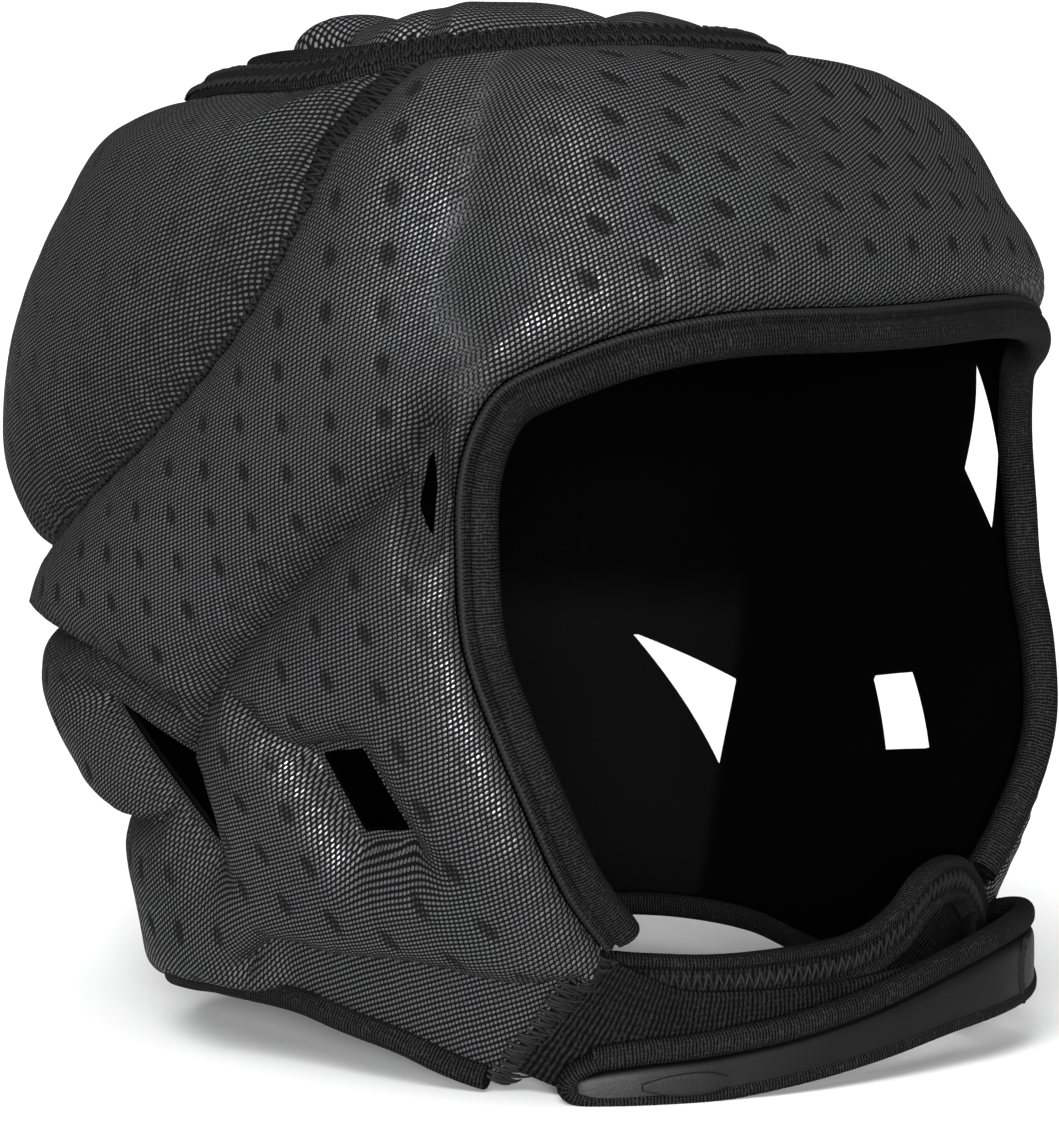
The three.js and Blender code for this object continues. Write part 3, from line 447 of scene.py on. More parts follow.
def settle(dirs, values, side, reach):
    near = np.nonzero(np.abs(values) < reach)[0]
    d = dirs[near]
    u = np.cross([0.0, 0.0, 1.0], d)
    u /= np.maximum(np.linalg.norm(u, axis=1), 1e-6)[:, None]
    v = np.cross(d, u)
    moved = d.copy()
    for _ in range(SETTLE_ROUNDS):
        f = side(moved)
        gu, gv = ((side(unit(moved + SETTLE_PROBE * w)) - f) / SETTLE_PROBE for w in (u, v))
        g = np.maximum(gu * gu + gv * gv, 1.0)
        step = np.clip(f / g, -SETTLE_MOST, SETTLE_MOST)
        moved = unit(moved - (step * gu)[:, None] * u - (step * gv)[:, None] * v)
    good = np.abs(side(moved)) < SETTLE_ON
    good &= np.linalg.norm(moved - d, axis=1) < SETTLE_FAR
    dirs[near[good]] = moved[good]
    values[near[good]] = 0.0


def trim(net, side, reach=0.4):
    dirs, tris = net[0].copy(), net[1]
    values = side(dirs)
    settle(dirs, values, side, reach)
    tv = values[tris]
    keep = (tv > 0).any(axis=1)
    whole = keep & (tv >= 0).all(axis=1)
    kept = [tris[whole]]
    added, cuts = [], {}

    def cut(a, b):
        key = (min(a, b), max(a, b))
        if key not in cuts:
            t = values[a] / (values[a] - values[b])
            cuts[key] = len(dirs) + len(added)
            added.append(unit(dirs[a] * (1 - t) + dirs[b] * t))
        return cuts[key]

    extra = []
    for tri in tris[keep & ~whole]:
        ring = []
        for k in range(3):
            a, b = tri[k], tri[(k + 1) % 3]
            if values[a] >= 0:
                ring.append(a)
            if values[a] * values[b] < 0:
                ring.append(cut(a, b))
        extra += [(ring[0], ring[k], ring[k + 1]) for k in range(1, len(ring) - 1)]
    if extra:
        kept.append(np.array(extra))
    if added:
        dirs = np.vstack([dirs, added])
    tris = np.vstack(kept)
    used, back = np.unique(tris, return_inverse=True)
    return dirs[used], back.reshape(tris.shape)


# Closed shell over a net: outer face, lining face and the walls along its edges
def shell(net, height):
    dirs, tris = net
    count = len(dirs)
    outer = on_lining(dirs, FABRIC + height)
    inner = on_lining(dirs)
    pairs = np.vstack([tris[:, [0, 1]], tris[:, [1, 2]], tris[:, [2, 0]]])
    key = pairs[:, 0].astype(np.int64) * count + pairs[:, 1]
    other = pairs[:, 1].astype(np.int64) * count + pairs[:, 0]
    border = pairs[~np.isin(key, other)]
    i, j = border[:, 0], border[:, 1]
    walls = np.vstack([np.stack([j, i, count + i], 1), np.stack([j, count + i, count + j], 1)])
    faces = np.vstack([tris, tris[:, ::-1] + count, walls])
    kind = np.repeat([0, 1, 2], [len(tris), len(tris), len(walls)])
    return np.vstack([outer, inner]), faces, kind


def linked(name, data):
    obj = bpy.data.objects.new(name, data)
    bpy.context.scene.collection.objects.link(obj)
    return obj


# Edges sharper than this many degrees stay sharp
SHARP = 50


def piece(name, points, faces, mats, node=None, kind=None, weave=None, values=None, dots=None,
          weave_b=None):
    points = np.maximum(points, [-np.inf, -np.inf, 0.0])
    mesh = bpy.data.meshes.new(name)
    mesh.from_pydata((points + [0, SHIFT_Y, 0]) * MM, [], faces)
    for mat in mats:
        mesh.materials.append(mat)
    if kind is not None:
        mesh.polygons.foreach_set("material_index", np.asarray(kind, np.int32))
    mesh.update(calc_edges=True)
    mesh.validate()
    mesh.polygons.foreach_set("use_smooth", np.ones(len(mesh.polygons), bool))
    mesh.set_sharp_from_angle(angle=SHARP * DEG)
    for key, value in (("weave", weave), ("dots", dots), ("weave_b", weave_b)):
        if value is not None:
            data = mesh.attributes.new(key, "FLOAT_VECTOR", "CORNER").data
            data.foreach_set("vector", np.asarray(value, np.float32).ravel())
    for key, value in (values or {}).items():
        data = mesh.attributes.new(key, "FLOAT", "POINT").data
        data.foreach_set("value", np.asarray(value, np.float32))
    obj = linked(name, mesh)
    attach(obj, "root")
    if node:
        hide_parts(node)
    return obj


# Materials: a slightly cool black
COOL = 1.03


class Tree:
    def __init__(self, name):
        self.mat = bpy.data.materials.new(name)
        self.mat.use_nodes = True
        self.nodes = self.mat.node_tree.nodes
        self.links = self.mat.node_tree.links
        self.shader = self.nodes["Principled BSDF"]

    def put(self, socket, value):
        if hasattr(value, "is_output"):
            self.links.new(value, socket)
        else:
            socket.default_value = value

    def node(self, kind, *values, out=0, **props):
        made = self.nodes.new("ShaderNode" + kind)
        for key, value in props.items():
            setattr(made, key, value)
        for k, value in enumerate(values):
            if value is not None:
                self.put(made.inputs[k], value)
        return made.outputs[out]

    def math(self, op, a, b=None, c=None):
        return self.node("Math", a, b, c, operation=op)

    def times(self, a, b):
        return self.math("MULTIPLY", a, b)

    def linear(self, value, slope, level):
        return self.math("MULTIPLY_ADD", value, slope, level)

    def ramp(self, value, low, high, to_low=0.0, to_high=1.0):
        return self.node("MapRange", value, low, high, to_low, to_high, interpolation_type="SMOOTHSTEP")

    def attribute(self, name, out="Fac"):
        return self.node("Attribute", out=out, attribute_name=name)

    def noise(self, scale, detail=2.0):
        return self.node("TexNoise", self.node("TexCoord", out="Object"), None, scale, detail)

    def greys(self, fac, low, high):
        unused = [None] * 5
        return self.node("Mix", fac, *unused, grey(low), grey(high), out=2, data_type="RGBA")

    def bump(self, height, distance, strength):
        made = self.nodes.new("ShaderNodeBump")
        made.inputs["Strength"].default_value = strength
        made.inputs["Distance"].default_value = distance
        self.put(made.inputs["Height"], height)
        return made.outputs["Normal"]

    # Place within a repeating cell, from -0.5 to 0.5
    def cell(self, value):
        return self.math("SUBTRACT", self.math("FRACT", value), 0.5)

    # Squared distance from the middle of an oval, 1 on its edge
    def oval(self, x, half_x, y, half_y):
        sides = ((x, half_x), (y, half_y))
        return self.math("ADD", *(self.math("POWER", self.math("DIVIDE", v, half), 2.0) for v, half in sides))

    def set(self, **values):
        for key, value in values.items():
            self.put(self.shader.inputs[key.replace("_", " ")], value)


def grey(v):
    return (v, v, v * COOL, 1.0)


# Warp-knit mesh: columns of shiny knots, each set half a step from the next, in millimetres of the cloth
KNOT_PITCH, KNOT_ROW, KNOT_LEAN, KNOT_SWAY = 1.25, 1.0, 0.55, 1.6
# Half sizes of a knot in its cell, its soft edge, how bright single knots are
KNOT_HALF_WIDE, KNOT_HALF_TALL, KNOT_EDGE, KNOT_VARY = 0.42, 0.32, (0.1, 1.15), (0.5, 0.6)
# Perforations of the foam: half sizes in millimetres, soft edge, painted shade darkening them
DOT_PITCH, DOT_ROW, DOT_LEAN = 11.8, 8.8, 0.35
DOT_HALF_WIDE, DOT_HALF_TALL, DOT_EDGE, DOT_PAINTED_SHADE = 1.55, 2.1, (0.25, 1.7, 1.1, 0.0), 0.88
MESH_GREYS, MESH_METAL, MESH_ROUGH, MESH_POLISH = (0.001, 0.088), 0.9, 0.92, 0.54


def knots(t, name, sway):
    u = t.node("SeparateXYZ", t.attribute(name, "Vector"))
    v = u.node.outputs[1]
    across = t.math("DIVIDE", t.math("ADD", u, sway), KNOT_PITCH)
    wale = t.math("FLOOR", across)
    fu = t.cell(across)
    shift = t.times(t.math("FLOORED_MODULO", wale, 2.0), 0.5)
    level = t.math("ADD", t.math("DIVIDE", v, KNOT_ROW), shift)
    lean = t.linear(fu, KNOT_LEAN, t.cell(level))
    knot = t.ramp(t.oval(fu, KNOT_HALF_WIDE, lean, KNOT_HALF_TALL), *KNOT_EDGE, 1.0, 0.0)
    which = t.node("CombineXYZ", wale, t.math("FLOOR", level), 0.0)
    vary = t.node("TexWhiteNoise", which, noise_dimensions="2D")
    return knot, t.times(knot, t.linear(vary, *KNOT_VARY))


# Mask of the perforations, which carries painted shade in their hollows
def perforations(t):
    a = t.node("SeparateXYZ", t.attribute("dots", "Vector"))
    b, weight = a.node.outputs[1], a.node.outputs[2]
    fa, fb = (t.cell(t.math("ADD", v, 0.5)) for v in (a, b))
    du = t.linear(fa, DOT_PITCH, t.times(fb, t.attribute("dot_drift")))
    dv = t.times(fb, DOT_ROW)
    d2 = t.oval(t.linear(dv, DOT_LEAN, du), DOT_HALF_WIDE, dv, DOT_HALF_TALL)
    return t.math("MINIMUM", t.times(t.ramp(d2, *DOT_EDGE), weight), 1.0)


def mesh_fabric():
    t = Tree("mesh_fabric")
    sway = t.linear(t.noise(90.0), KNOT_SWAY, -KNOT_SWAY / 2)
    pairs = zip(knots(t, "weave", sway), knots(t, "weave_b", sway))
    knot, shade = (t.node("Mix", t.attribute("blend"), None, first, second) for first, second in pairs)
    tone = t.times(shade, t.linear(t.noise(45.0, 3.0), 0.9, 0.5))
    # Painted shade in the perforations and beside the channels, and painted light beside the lower channel,
    # scale the tone
    for loss in (t.times(perforations(t), DOT_PAINTED_SHADE), t.attribute("pressed")):
        tone = t.times(tone, t.math("SUBTRACT", 1.0, loss))
    t.set(Base_Color=t.greys(tone, *MESH_GREYS), Metallic=t.times(tone, MESH_METAL))
    t.set(Roughness=t.linear(tone, -MESH_POLISH, MESH_ROUGH))
    t.set(Normal=t.bump(knot, distance=0.00013, strength=0.42), Specular_IOR_Level=0.05)
    return t.mat


def lining_fabric():
    t = Tree("lining_fabric")
    fine = t.noise(1200.0)
    broad = t.times(t.noise(40.0, 3.0), 0.15)
    lift = t.linear(t.attribute("inner_tone"), 0.8, broad)
    # Near-black lining: black cloth, made darker than real cloth as painted shade inside the head
    t.set(Base_Color=t.greys(lift, 0.00002, 0.0011), Roughness=t.linear(fine, 0.2, 0.75))
    t.set(Normal=t.bump(fine, distance=0.0002, strength=0.4), Specular_IOR_Level=0.01)
    return t.mat


# Ribbed jersey tape: fine ribs across the run, "weave" holds the run and the girth in millimetres
LOOP_PITCH = 0.9


def jersey(name, rib, low, high):
    t = Tree(name)
    run = t.node("SeparateXYZ", t.attribute("weave", "Vector"))
    girth = run.node.outputs[1]
    wobble = t.times(t.noise(300.0), 0.9)
    phase = t.times(t.math("ADD", run, wobble), 2 * math.pi / rib)
    ribs = t.linear(t.math("SINE", phase), 0.5, 0.5)
    loops = t.math("SINE", t.times(girth, 2 * math.pi / LOOP_PITCH))
    knit = t.times(t.ramp(ribs, 0.15, 0.9), t.linear(loops, 0.25, 0.75))
    speck = t.ramp(t.noise(1400.0), 0.5, 0.72)
    tone = t.times(t.linear(knit, 0.8, t.times(speck, 0.5)), t.math("ADD", t.noise(60.0, 3.0), 0.35))
    t.set(Base_Color=t.greys(tone, low, high), Roughness=0.8, Specular_IOR_Level=0.03)
    t.set(Normal=t.bump(t.math("ADD", knit, t.times(speck, 0.4)), distance=0.0003, strength=0.7))
    return t.mat


def smooth_tab():
    t = Tree("smooth_tab")
    broad = t.noise(70.0, 3.0)
    t.set(Base_Color=t.greys(broad, 0.0007, 0.002), Roughness=t.linear(broad, 0.25, 0.42))
    t.set(Normal=t.bump(t.noise(1500.0, 3.0), distance=0.00012, strength=0.5), Specular_IOR_Level=0.12)
    return t.mat


def thread():
    t = Tree("thread")
    ply = t.noise(2500.0)
    t.set(Base_Color=t.greys(ply, 0.001, 0.005), Roughness=0.65, Specular_IOR_Level=0.08)
    t.set(Normal=t.bump(ply, distance=0.0001, strength=0.5))
    return t.mat


MESH = mesh_fabric()
LINING = lining_fabric()
BINDING = jersey("jersey_binding", rib=0.72, low=0.0001, high=0.0105)
KNIT = jersey("ribbed_knit", rib=1.15, low=0.0001, high=0.0075)
TAB = smooth_tab()
THREAD = thread()


# Regions of a panel by the bearing of their middle, and the radius at which they are laid flat
FRONT_AT, SIDE_AT, REAR_AT = 0.0, 85.0, 125.0
BROW_EL, CLOTH_RADIUS = 17.0, 108.0
# Lattice of the foam's perforations in cloth millimetres: origin, pitch, drift of each row, row, strength
DOTS = {
    FRONT_AT: (30.7, 92.6, 11.8, 5.9, 8.7, 1.2), SIDE_AT: (-31.0, 82.0, 12.5, -2.6, 10.4, 0.88),
    REAR_AT: (-37.2, 75.8, 12.0, 6.0, 9.8, 0.42),
}
# Sag of the forehead's rows, depth of a dent, pad share where dents begin, their fading toward the fold
DROOP, DENT, DENT_FROM, DENT_RUN = 0.0013, 0.7, 0.55, 0.3
DOT_FADE, DOT_FADE_FROM, DOT_FADE_RUN = 0.7, 37.0, 7.0
# Weave of each region: middle bearing, level of true scale, extra cloth ahead of a bearing, radius
FRONT_WEAVE = (FRONT_AT, 20.0, 0.0, 0.0, 134.0)
SIDE_WEAVE = (SIDE_AT, 22.0, 0.2, 70.0, 118.0)
REAR_WEAVE = (REAR_AT, 25.0, 0.0, 0.0, 116.0)
WEAVE_EASE = 3.0
# Half width of the blended fold, and where the blend ends below
FOLD_BLEND, FOLD_LOW, FOLD_LOW_RUN = 3.0, 13.0, 8.0
# Paler lining low at the back: bearing, elevation and the run of each edge
PALE_AT, PALE_AT_RUN, PALE_EL, PALE_EL_RUN = 96.0, 3.0, -10.0, 10.0


def laid_flat(at, el, ref):
    turn = (at - ref + 180) % 360 - 180
    u = turn * DEG * CLOTH_RADIUS * np.cos(el * DEG)
    return np.stack([u, el * DEG * CLOTH_RADIUS, np.broadcast_to(ref, at.shape)], axis=-1)


def dot_coords(flat, share):
    ref = flat[..., 2]
    out = np.zeros_like(flat)
    for key, (u0, v0, pitch, drift, row, strength) in DOTS.items():
        here = np.abs(ref) == key
        u = np.where(ref < 0, -flat[..., 0], flat[..., 0])
        b = (v0 - flat[..., 1] - DROOP * u * u * (key == FRONT_AT)) / row
        a = (u - u0 - drift * b) / pitch
        for k, value in enumerate((a, b, strength * share)):
            out[..., k] = np.where(here, value, out[..., k])
    return out


def dot_depth(dots, drift):
    fa, fb = (dots[..., 0] + 0.5) % 1 - 0.5, (dots[..., 1] + 0.5) % 1 - 0.5
    du, dv = fa * DOT_PITCH + fb * drift, fb * DOT_ROW
    return dots[..., 2] * np.exp(-((du + DOT_LEAN * dv) / DOT_HALF_WIDE) ** 2 - (dv / DOT_HALF_TALL) ** 2)


def weave_coords(at, el, middle):
    ref, level, stretch, from_at, radius = middle
    turn = np.abs(at) - ref - stretch * WEAVE_EASE * np.logaddexp(0, (from_at - np.abs(at)) / WEAVE_EASE)
    turn = turn * np.where(at < 0, -1, 1)
    scale = np.sqrt(np.maximum(np.cos(el * DEG) * math.cos(level * DEG), 0))
    return np.stack([turn * DEG * radius * scale, el * DEG * radius, at * 0], axis=-1)


def fold_bearing(el):
    rows = np.asarray(FOREHEAD_FOLD, float)[::-1]
    return np.interp(el, rows[:, 1], rows[:, 0])


def on_forehead(at, el):
    return (np.abs(at) < fold_bearing(el)) & (el > BROW_EL)


def front_regions(at, el):
    return np.where(on_forehead(at, el), FRONT_AT, np.where(at > 0, SIDE_AT, -SIDE_AT))


def rear_regions(at, el):
    return np.where(at > 0, REAR_AT, -REAR_AT)


net = direction_net(NET_DETAIL)
front_net = rear_net = trim(net, crown_side)
for side in (face_side, rim_side, seam_side):
    front_net = trim(front_net, side)
for vent in vents:
    front_net = trim(front_net, lambda d, vent=vent: vent_side(vent, d))
rear_net = trim(rear_net, lambda d: -seam_side(d))


# One value for each outer point and again for each lining point
def twice(values):
    return np.concatenate([values, values])


def panel(name, part_net, regions, node):
    dirs = part_net[0]
    at, el = angles_of(dirs)
    side = np.abs(at)
    front = regions is front_regions
    height = padding(dirs)
    share = ease((height / np.maximum(pad_height(dirs), 1) - DENT_FROM) / DENT_RUN)
    blend = at * 0
    weaves = (FRONT_WEAVE, SIDE_WEAVE) if front else (REAR_WEAVE, REAR_WEAVE)
    if front:
        fade = 1 - DOT_FADE * ease((side - DOT_FADE_FROM) / DOT_FADE_RUN)
        share = np.where(on_forehead(at, el), share * fade, share)
        beside = ease((side - fold_bearing(el) + FOLD_BLEND) / (2 * FOLD_BLEND))
        blend = 1 - (1 - beside) * ease((el - FOLD_LOW) / FOLD_LOW_RUN)
    ref = regions(at, el)
    drift = np.select([np.abs(ref) == key for key in DOTS], [row[3] for row in DOTS.values()])
    height = height - DENT * dot_depth(dot_coords(laid_flat(at, el, ref), share), drift)
    points, faces, kind = shell(part_net, height)
    corner = faces % len(dirs)
    middle = regions(*angles_of(unit(dirs[corner].mean(axis=1))))[:, None]
    dots = dot_coords(laid_flat(at[corner], el[corner], middle), share[corner])
    pale = ease((side - PALE_AT) / PALE_AT_RUN) * ease((PALE_EL - el) / PALE_EL_RUN)
    values = {"inner_tone": np.concatenate([at * 0, pale]), "dot_drift": twice(drift), "blend": twice(blend)}
    # Painted shade and painted light beside the channels, carried to the cloth's tone
    values["pressed"] = twice(pressed(dirs, SEAM_SHADE_FRONT if front else 1.0))
    weave, weave_b = (weave_coords(at, el, row)[corner] for row in weaves)
    obj = piece(name, points, faces, [MESH, LINING, LINING], node, kind, weave, values, dots, weave_b)


panel("front_shell", front_net, front_regions, "front_panel")
panel("rear_shell", rear_net, rear_regions, "rear_panel")


# Crown panel: four domed pads, narrower along its free sides, tucked under the crown roll where it is sewn
CROWN_ROLL_WIDTH, EDGE_ROLL = 7.0, 4.6
EDGE_GAP, PIECE_GAP, CROWN_SLOT, CROWN_TUCK = 0.6, 0.3, 2.4, 4.0
FREE_FROM, FREE_TO, FREE_BLEND = 56.0, 134.0, 18.0
CROWN_PAD_HEIGHT, CROWN_SPLIT_Y, CROWN_PUFF = 11.0, 2.5, 1.3
CROSSING_SINK, CROSSING_RUN = 0.8, 16.0
CROWN_CHANNEL_RUN, CROWN_EDGE_RUN = 16.0, 17.0
# Unpadded margin ahead of and behind a bearing, and the run over which each grows
CROWN_FRONT_MARGIN, CROWN_REAR_MARGIN, MARGIN_AT, MARGIN_RUN = 6.0, 14.0, 75.0, 45.0
CROWN_WEAVE_RADIUS = 120.0
CROWN_SEWN_INSET = CROWN_ROLL_WIDTH + 2 * EDGE_GAP + PIECE_GAP - CROWN_TUCK
CROWN_FREE_INSET = CROWN_SEWN_INSET + CROWN_TUCK + CROWN_SLOT + EDGE_ROLL + EDGE_GAP


def crown_inset(at):
    share = ease((np.abs(at) - FREE_FROM) / FREE_BLEND) * ease((FREE_TO - np.abs(at)) / FREE_BLEND)
    return CROWN_SEWN_INSET + (CROWN_FREE_INSET - CROWN_SEWN_INSET) * share


def crown_edge_inset(at):
    return crown_inset(at) - EDGE_ROLL - 2 * EDGE_GAP


def crown_panel_side(dirs):
    return -crown_side(dirs) - crown_inset(angles_of(dirs)[0])


def crown_padding(dirs):
    p = on_lining(dirs)
    at = angles_of(dirs)[0]
    x, y = p[:, 0], p[:, 1] - CROWN_SPLIT_Y
    puff = rounded(np.abs(x) / CROWN_CHANNEL_RUN) * rounded(np.abs(y) / CROWN_CHANNEL_RUN)
    puff = puff ** CROWN_PUFF * (1 - CROSSING_SINK * np.exp(-(np.hypot(x, y) / CROSSING_RUN) ** 2))
    behind = (np.abs(at) - MARGIN_AT) / MARGIN_RUN
    margin = CROWN_REAR_MARGIN * ease(behind) + CROWN_FRONT_MARGIN * ease(-behind)
    inset = np.maximum(crown_inset(at), CROWN_SEWN_INSET + CROWN_TUCK)
    to_edge = np.maximum(-crown_side(dirs) - inset - margin, 0)
    return CROWN_PAD_HEIGHT * puff * rounded(to_edge / CROWN_EDGE_RUN)


def crown_panel():
    crown_net = trim(net, crown_panel_side)
    points, faces, kind = shell(crown_net, crown_padding(crown_net[0]))
    at, el = (twice(angle) for angle in angles_of(crown_net[0]))
    run = (90 - el) * DEG * CROWN_WEAVE_RADIUS
    weave = np.stack([run * np.sin(at * DEG), run * np.cos(at * DEG), at * 0], 1)[faces]
    obj = piece("crown_shell", points, faces, [MESH, LINING, LINING], "crown_panel", kind, weave,
                {"inner_tone": at * 0}, dots=weave * 0)


crown_panel()


# Rolls and straps swept along a line: its points, the run along them, and the directions across and out
def interpolated(values, run, want):
    return np.stack([np.interp(want, run, values[:, k]) for k in range(3)], axis=1)


def run_along(points):
    return np.concatenate([[0], np.cumsum(np.linalg.norm(np.diff(points, axis=0), axis=1))])


def spaced(points, count, closed=False):
    line = np.vstack([points, points[:1]]) if closed else points
    run = run_along(line)
    want = np.linspace(0, run[-1], count + 1)[:-1] if closed else np.linspace(0, run[-1], count)
    return interpolated(line, run, want), want


def turns(count):
    return np.linspace(0, 2 * math.pi, count, endpoint=False)


def oval(half_thick, half_wide, power, count):
    a = turns(count)
    c, s = np.cos(a), np.sin(a)
    t = half_thick * np.sign(c) * np.abs(c) ** (2 / power)
    w = half_wide * np.sign(s) * np.abs(s) ** (2 / power)
    return np.stack([t, w], axis=1)


def groove(shape, at, deep, wide):
    dip = deep * np.exp(-((shape[:, 1] - at) / wide) ** 2) * (shape[:, 0] > 0)
    return np.stack([shape[:, 0] - dip, shape[:, 1]], axis=1)


def skin(rings, run, closed):
    count, n = rings.shape[:2]
    rows = np.arange(count if closed else count - 1)
    i, k = (grid.ravel() for grid in np.meshgrid(rows, np.arange(n), indexing="ij"))
    girth = run_along(np.vstack([rings[count // 2], rings[count // 2][:1]]))
    run = np.append(run, run[-1] + (run[1] - run[0]))
    corners = [(i, k), (i + 1, k), (i + 1, k + 1), (i, k + 1)]
    index = [(r % count) * n + c % n for r, c in corners]
    cloth = [np.stack([run[r], girth[c], 0 * run[r]], 1) for r, c in corners]
    halves = ((0, 1, 2), (0, 2, 3))
    faces = np.vstack([np.stack([index[m] for m in half], 1) for half in halves])
    weave = np.vstack([np.stack([cloth[m] for m in half], 1) for half in halves])
    points = rings.reshape(-1, 3)
    if not closed:
        for start, order in ((0, 1), ((count - 1) * n, -1)):
            ring = start + np.arange(n)
            cap = np.stack([np.full(n, len(points)), ring, np.roll(ring, -1)], 1)[:, ::order]
            points = np.vstack([points, points[ring].mean(axis=0)])
            faces = np.vstack([faces, cap])
        weave = np.vstack([weave, np.zeros((2 * n, 3, 3))])
    p = points[faces]
    if np.einsum("ij,ij->i", p[:, 0], np.cross(p[:, 1], p[:, 2])).sum() < 0:
        faces = faces[:, ::-1]
        weave = weave[:, ::-1]
    return points, faces, weave


def roll_line(rows, count, open_side=1, closed=False):
    path, run = spaced(on_lining(dir_of(*rows.T), FABRIC / 2), count, closed)
    if closed:
        along = np.roll(path, -1, axis=0) - np.roll(path, 1, axis=0)
    else:
        along = np.gradient(path, axis=0)
    along = unit(along)
    across = unit(np.cross(along, unit(path - CENTRE))) * open_side
    out = unit(np.cross(across, along)) * open_side
    return path, run, across, out


def moved(line, across=0.0, out=0.0):
    path, run, side, face = line
    return path + side * across + face * out, run, side, face


def scaled(shape, thick, wide):
    return np.stack([shape[:, 0] * thick[:, None], shape[:, 1] * wide[:, None]], axis=2)


def sweep(name, line, shapes, mat, node=None, closed=False):
    path, run, across, out = line
    shapes = np.broadcast_to(shapes, (len(path),) + shapes.shape[-2:])
    rings = path[:, None] + out[:, None] * shapes[..., :1] + across[:, None] * shapes[..., 1:]
    points, faces, weave = skin(rings, run, closed)
    return piece(name, points, faces, [mat], node, None, weave)


# Two-ply cord along a line
PLY_DEPTH, PLY_POINTS = 0.16, 10


def piping(name, line, radius, pitch):
    turn = turns(PLY_POINTS)
    ply = radius * (1 + PLY_DEPTH * np.cos(2 * (turn[None] - line[1][:, None] * 2 * math.pi / pitch)))
    sweep(name, line, np.stack([ply * np.cos(turn), ply * np.sin(turn)], axis=2), THREAD)


# Arched threads, one for each pair of points: steps, points round, share sunk in the cloth, thin ends
STITCH_STEPS, STITCH_RING, STITCH_SUNK, STITCH_BOW = 6, 6, 0.35, 0.7
STITCH_THIN, STITCH_END = 0.55, 0.06


def stitches(name, starts, ends, normals, radius, arch):
    t = np.linspace(0, 1, STITCH_STEPS)
    side = unit(np.cross(unit(ends - starts), normals))
    bow = (4 * t * (1 - t)) ** STITCH_BOW * arch - STITCH_SUNK * arch
    centre = starts[:, None] + (ends - starts)[:, None] * t[None, :, None]
    centre = centre + normals[:, None] * bow[None, :, None]
    turn = turns(STITCH_RING)[None, None, :, None]
    swell = np.sin(math.pi * np.clip(t, STITCH_END, 1 - STITCH_END))
    thick = (radius * (STITCH_THIN + (1 - STITCH_THIN) * swell))[None, :, None, None]
    around = np.cos(turn) * normals[:, None, None] + np.sin(turn) * side[:, None, None]
    points = (centre[:, :, None] + thick * around).reshape(-1, 3)
    base = np.arange(len(starts))[:, None, None] * STITCH_STEPS * STITCH_RING
    i = np.arange(STITCH_STEPS - 1)[None, :, None] * STITCH_RING
    k = np.arange(STITCH_RING)[None, None, :]
    n = (k + 1) % STITCH_RING
    corners = (i + k, i + STITCH_RING + k, i + STITCH_RING + n, i + n)
    a, b, c, d = ((base + corner).ravel() for corner in corners)
    faces = [np.stack([a, c, b], 1), np.stack([a, d, c], 1)]
    for first, order in ((base.ravel(), 1), (base.ravel() + (STITCH_STEPS - 1) * STITCH_RING, -1)):
        fan = range(1, STITCH_RING - 1)
        faces += [np.stack([first, first + m, first + m + 1], 1)[:, ::order] for m in fan]
    piece(name, points, np.vstack(faces), [THREAD])


# Zigzag of threads along a line, between two widths or from minus to plus a width that follows the run
def zigzag(name, line, low, high, pitch, radius, arch, jitter, seed, from_run=0.0, to_run=None):
    middle, run, across, out = line
    rng = np.random.default_rng(seed)
    at = np.arange(from_run, to_run or run[-1], pitch / 2)
    if callable(high):
        low, high = -high(at), high(at)
    edge = np.where(np.arange(len(at)) % 2 == 0, low, high) + rng.normal(0, 1, len(at)) * jitter
    at = at + rng.normal(0, 1, len(at)) * jitter
    points = interpolated(middle, run, at) + interpolated(across, run, at) * edge[:, None]
    normals = unit(interpolated(out, run, at))
    stitches(name, points[:-1], points[1:], normals[:-1], radius, arch)


# Bearings and elevations along the rim, by halving, and along the crown edge
RIM_LOWEST, RIM_HALVINGS = -70.0, 30


def rim_rows(start, end, count):
    at = np.linspace(start, end, count + 1)
    low, high = np.full(len(at), RIM_LOWEST), np.zeros(len(at))
    for _ in range(RIM_HALVINGS):
        mid = (low + high) / 2
        above = rim_side(dir_of(at, mid)) > 0
        high = np.where(above, mid, high)
        low = np.where(above, low, mid)
    return np.stack([np.where(at > 180, at - 360, at), (low + high) / 2], axis=1)


def crown_rows(inset, start, end, count):
    at = np.linspace(start, end, count + 1)
    el = table(CROWN_EDGE, np.abs(at))
    return np.stack([at, el + inset(at) / (DEG * lining_radius(dir_of(at, el)))], axis=1)


def face_roll():
    right = catmull(FACE_EDGE, 6)
    rows = np.vstack([right[::-1], mirrored(right)[1:]])
    shape = groove(oval(half_thick=3.5, half_wide=4.2, power=2.5, count=52), at=-1.5, deep=1.5, wide=0.5)
    sweep("face_roll", moved(roll_line(rows, count=560), across=4.7), shape, BINDING, node="face_binding")
    piping("face_piping", moved(roll_line(rows, count=1500), across=1.5, out=2.3), radius=0.85, pitch=2.2)


# The neck roll hangs upright and wraps the rim
NECK_FROM, NECK_OUT, NECK_DROP, NECK_THICK, NECK_TALL = 50.5, 0.9, 2.2, 5.6, 5.4


def neck_roll():
    rows = rim_rows(NECK_FROM, 360 - NECK_FROM, count=200)
    path, run = spaced(on_lining(dir_of(*rows.T), FABRIC / 2), count=480)
    along = unit(np.gradient(path, axis=0))
    out = unit(np.cross(along, [0.0, 0.0, 1.0]))
    out = out * np.sign(np.einsum("ij,ij->i", out, path - CENTRE))[:, None]
    down = unit(np.cross(along, out))
    down = down * -np.sign(down[:, 2:])
    shape = groove(oval(NECK_THICK / 2, NECK_TALL / 2, power=2.6, count=36), at=-1.5, deep=0.5, wide=0.4)
    line = (path + out * NECK_OUT + down * NECK_DROP, run, down, out)
    sweep("neck_roll", line, shape, BINDING, node="neck_binding")


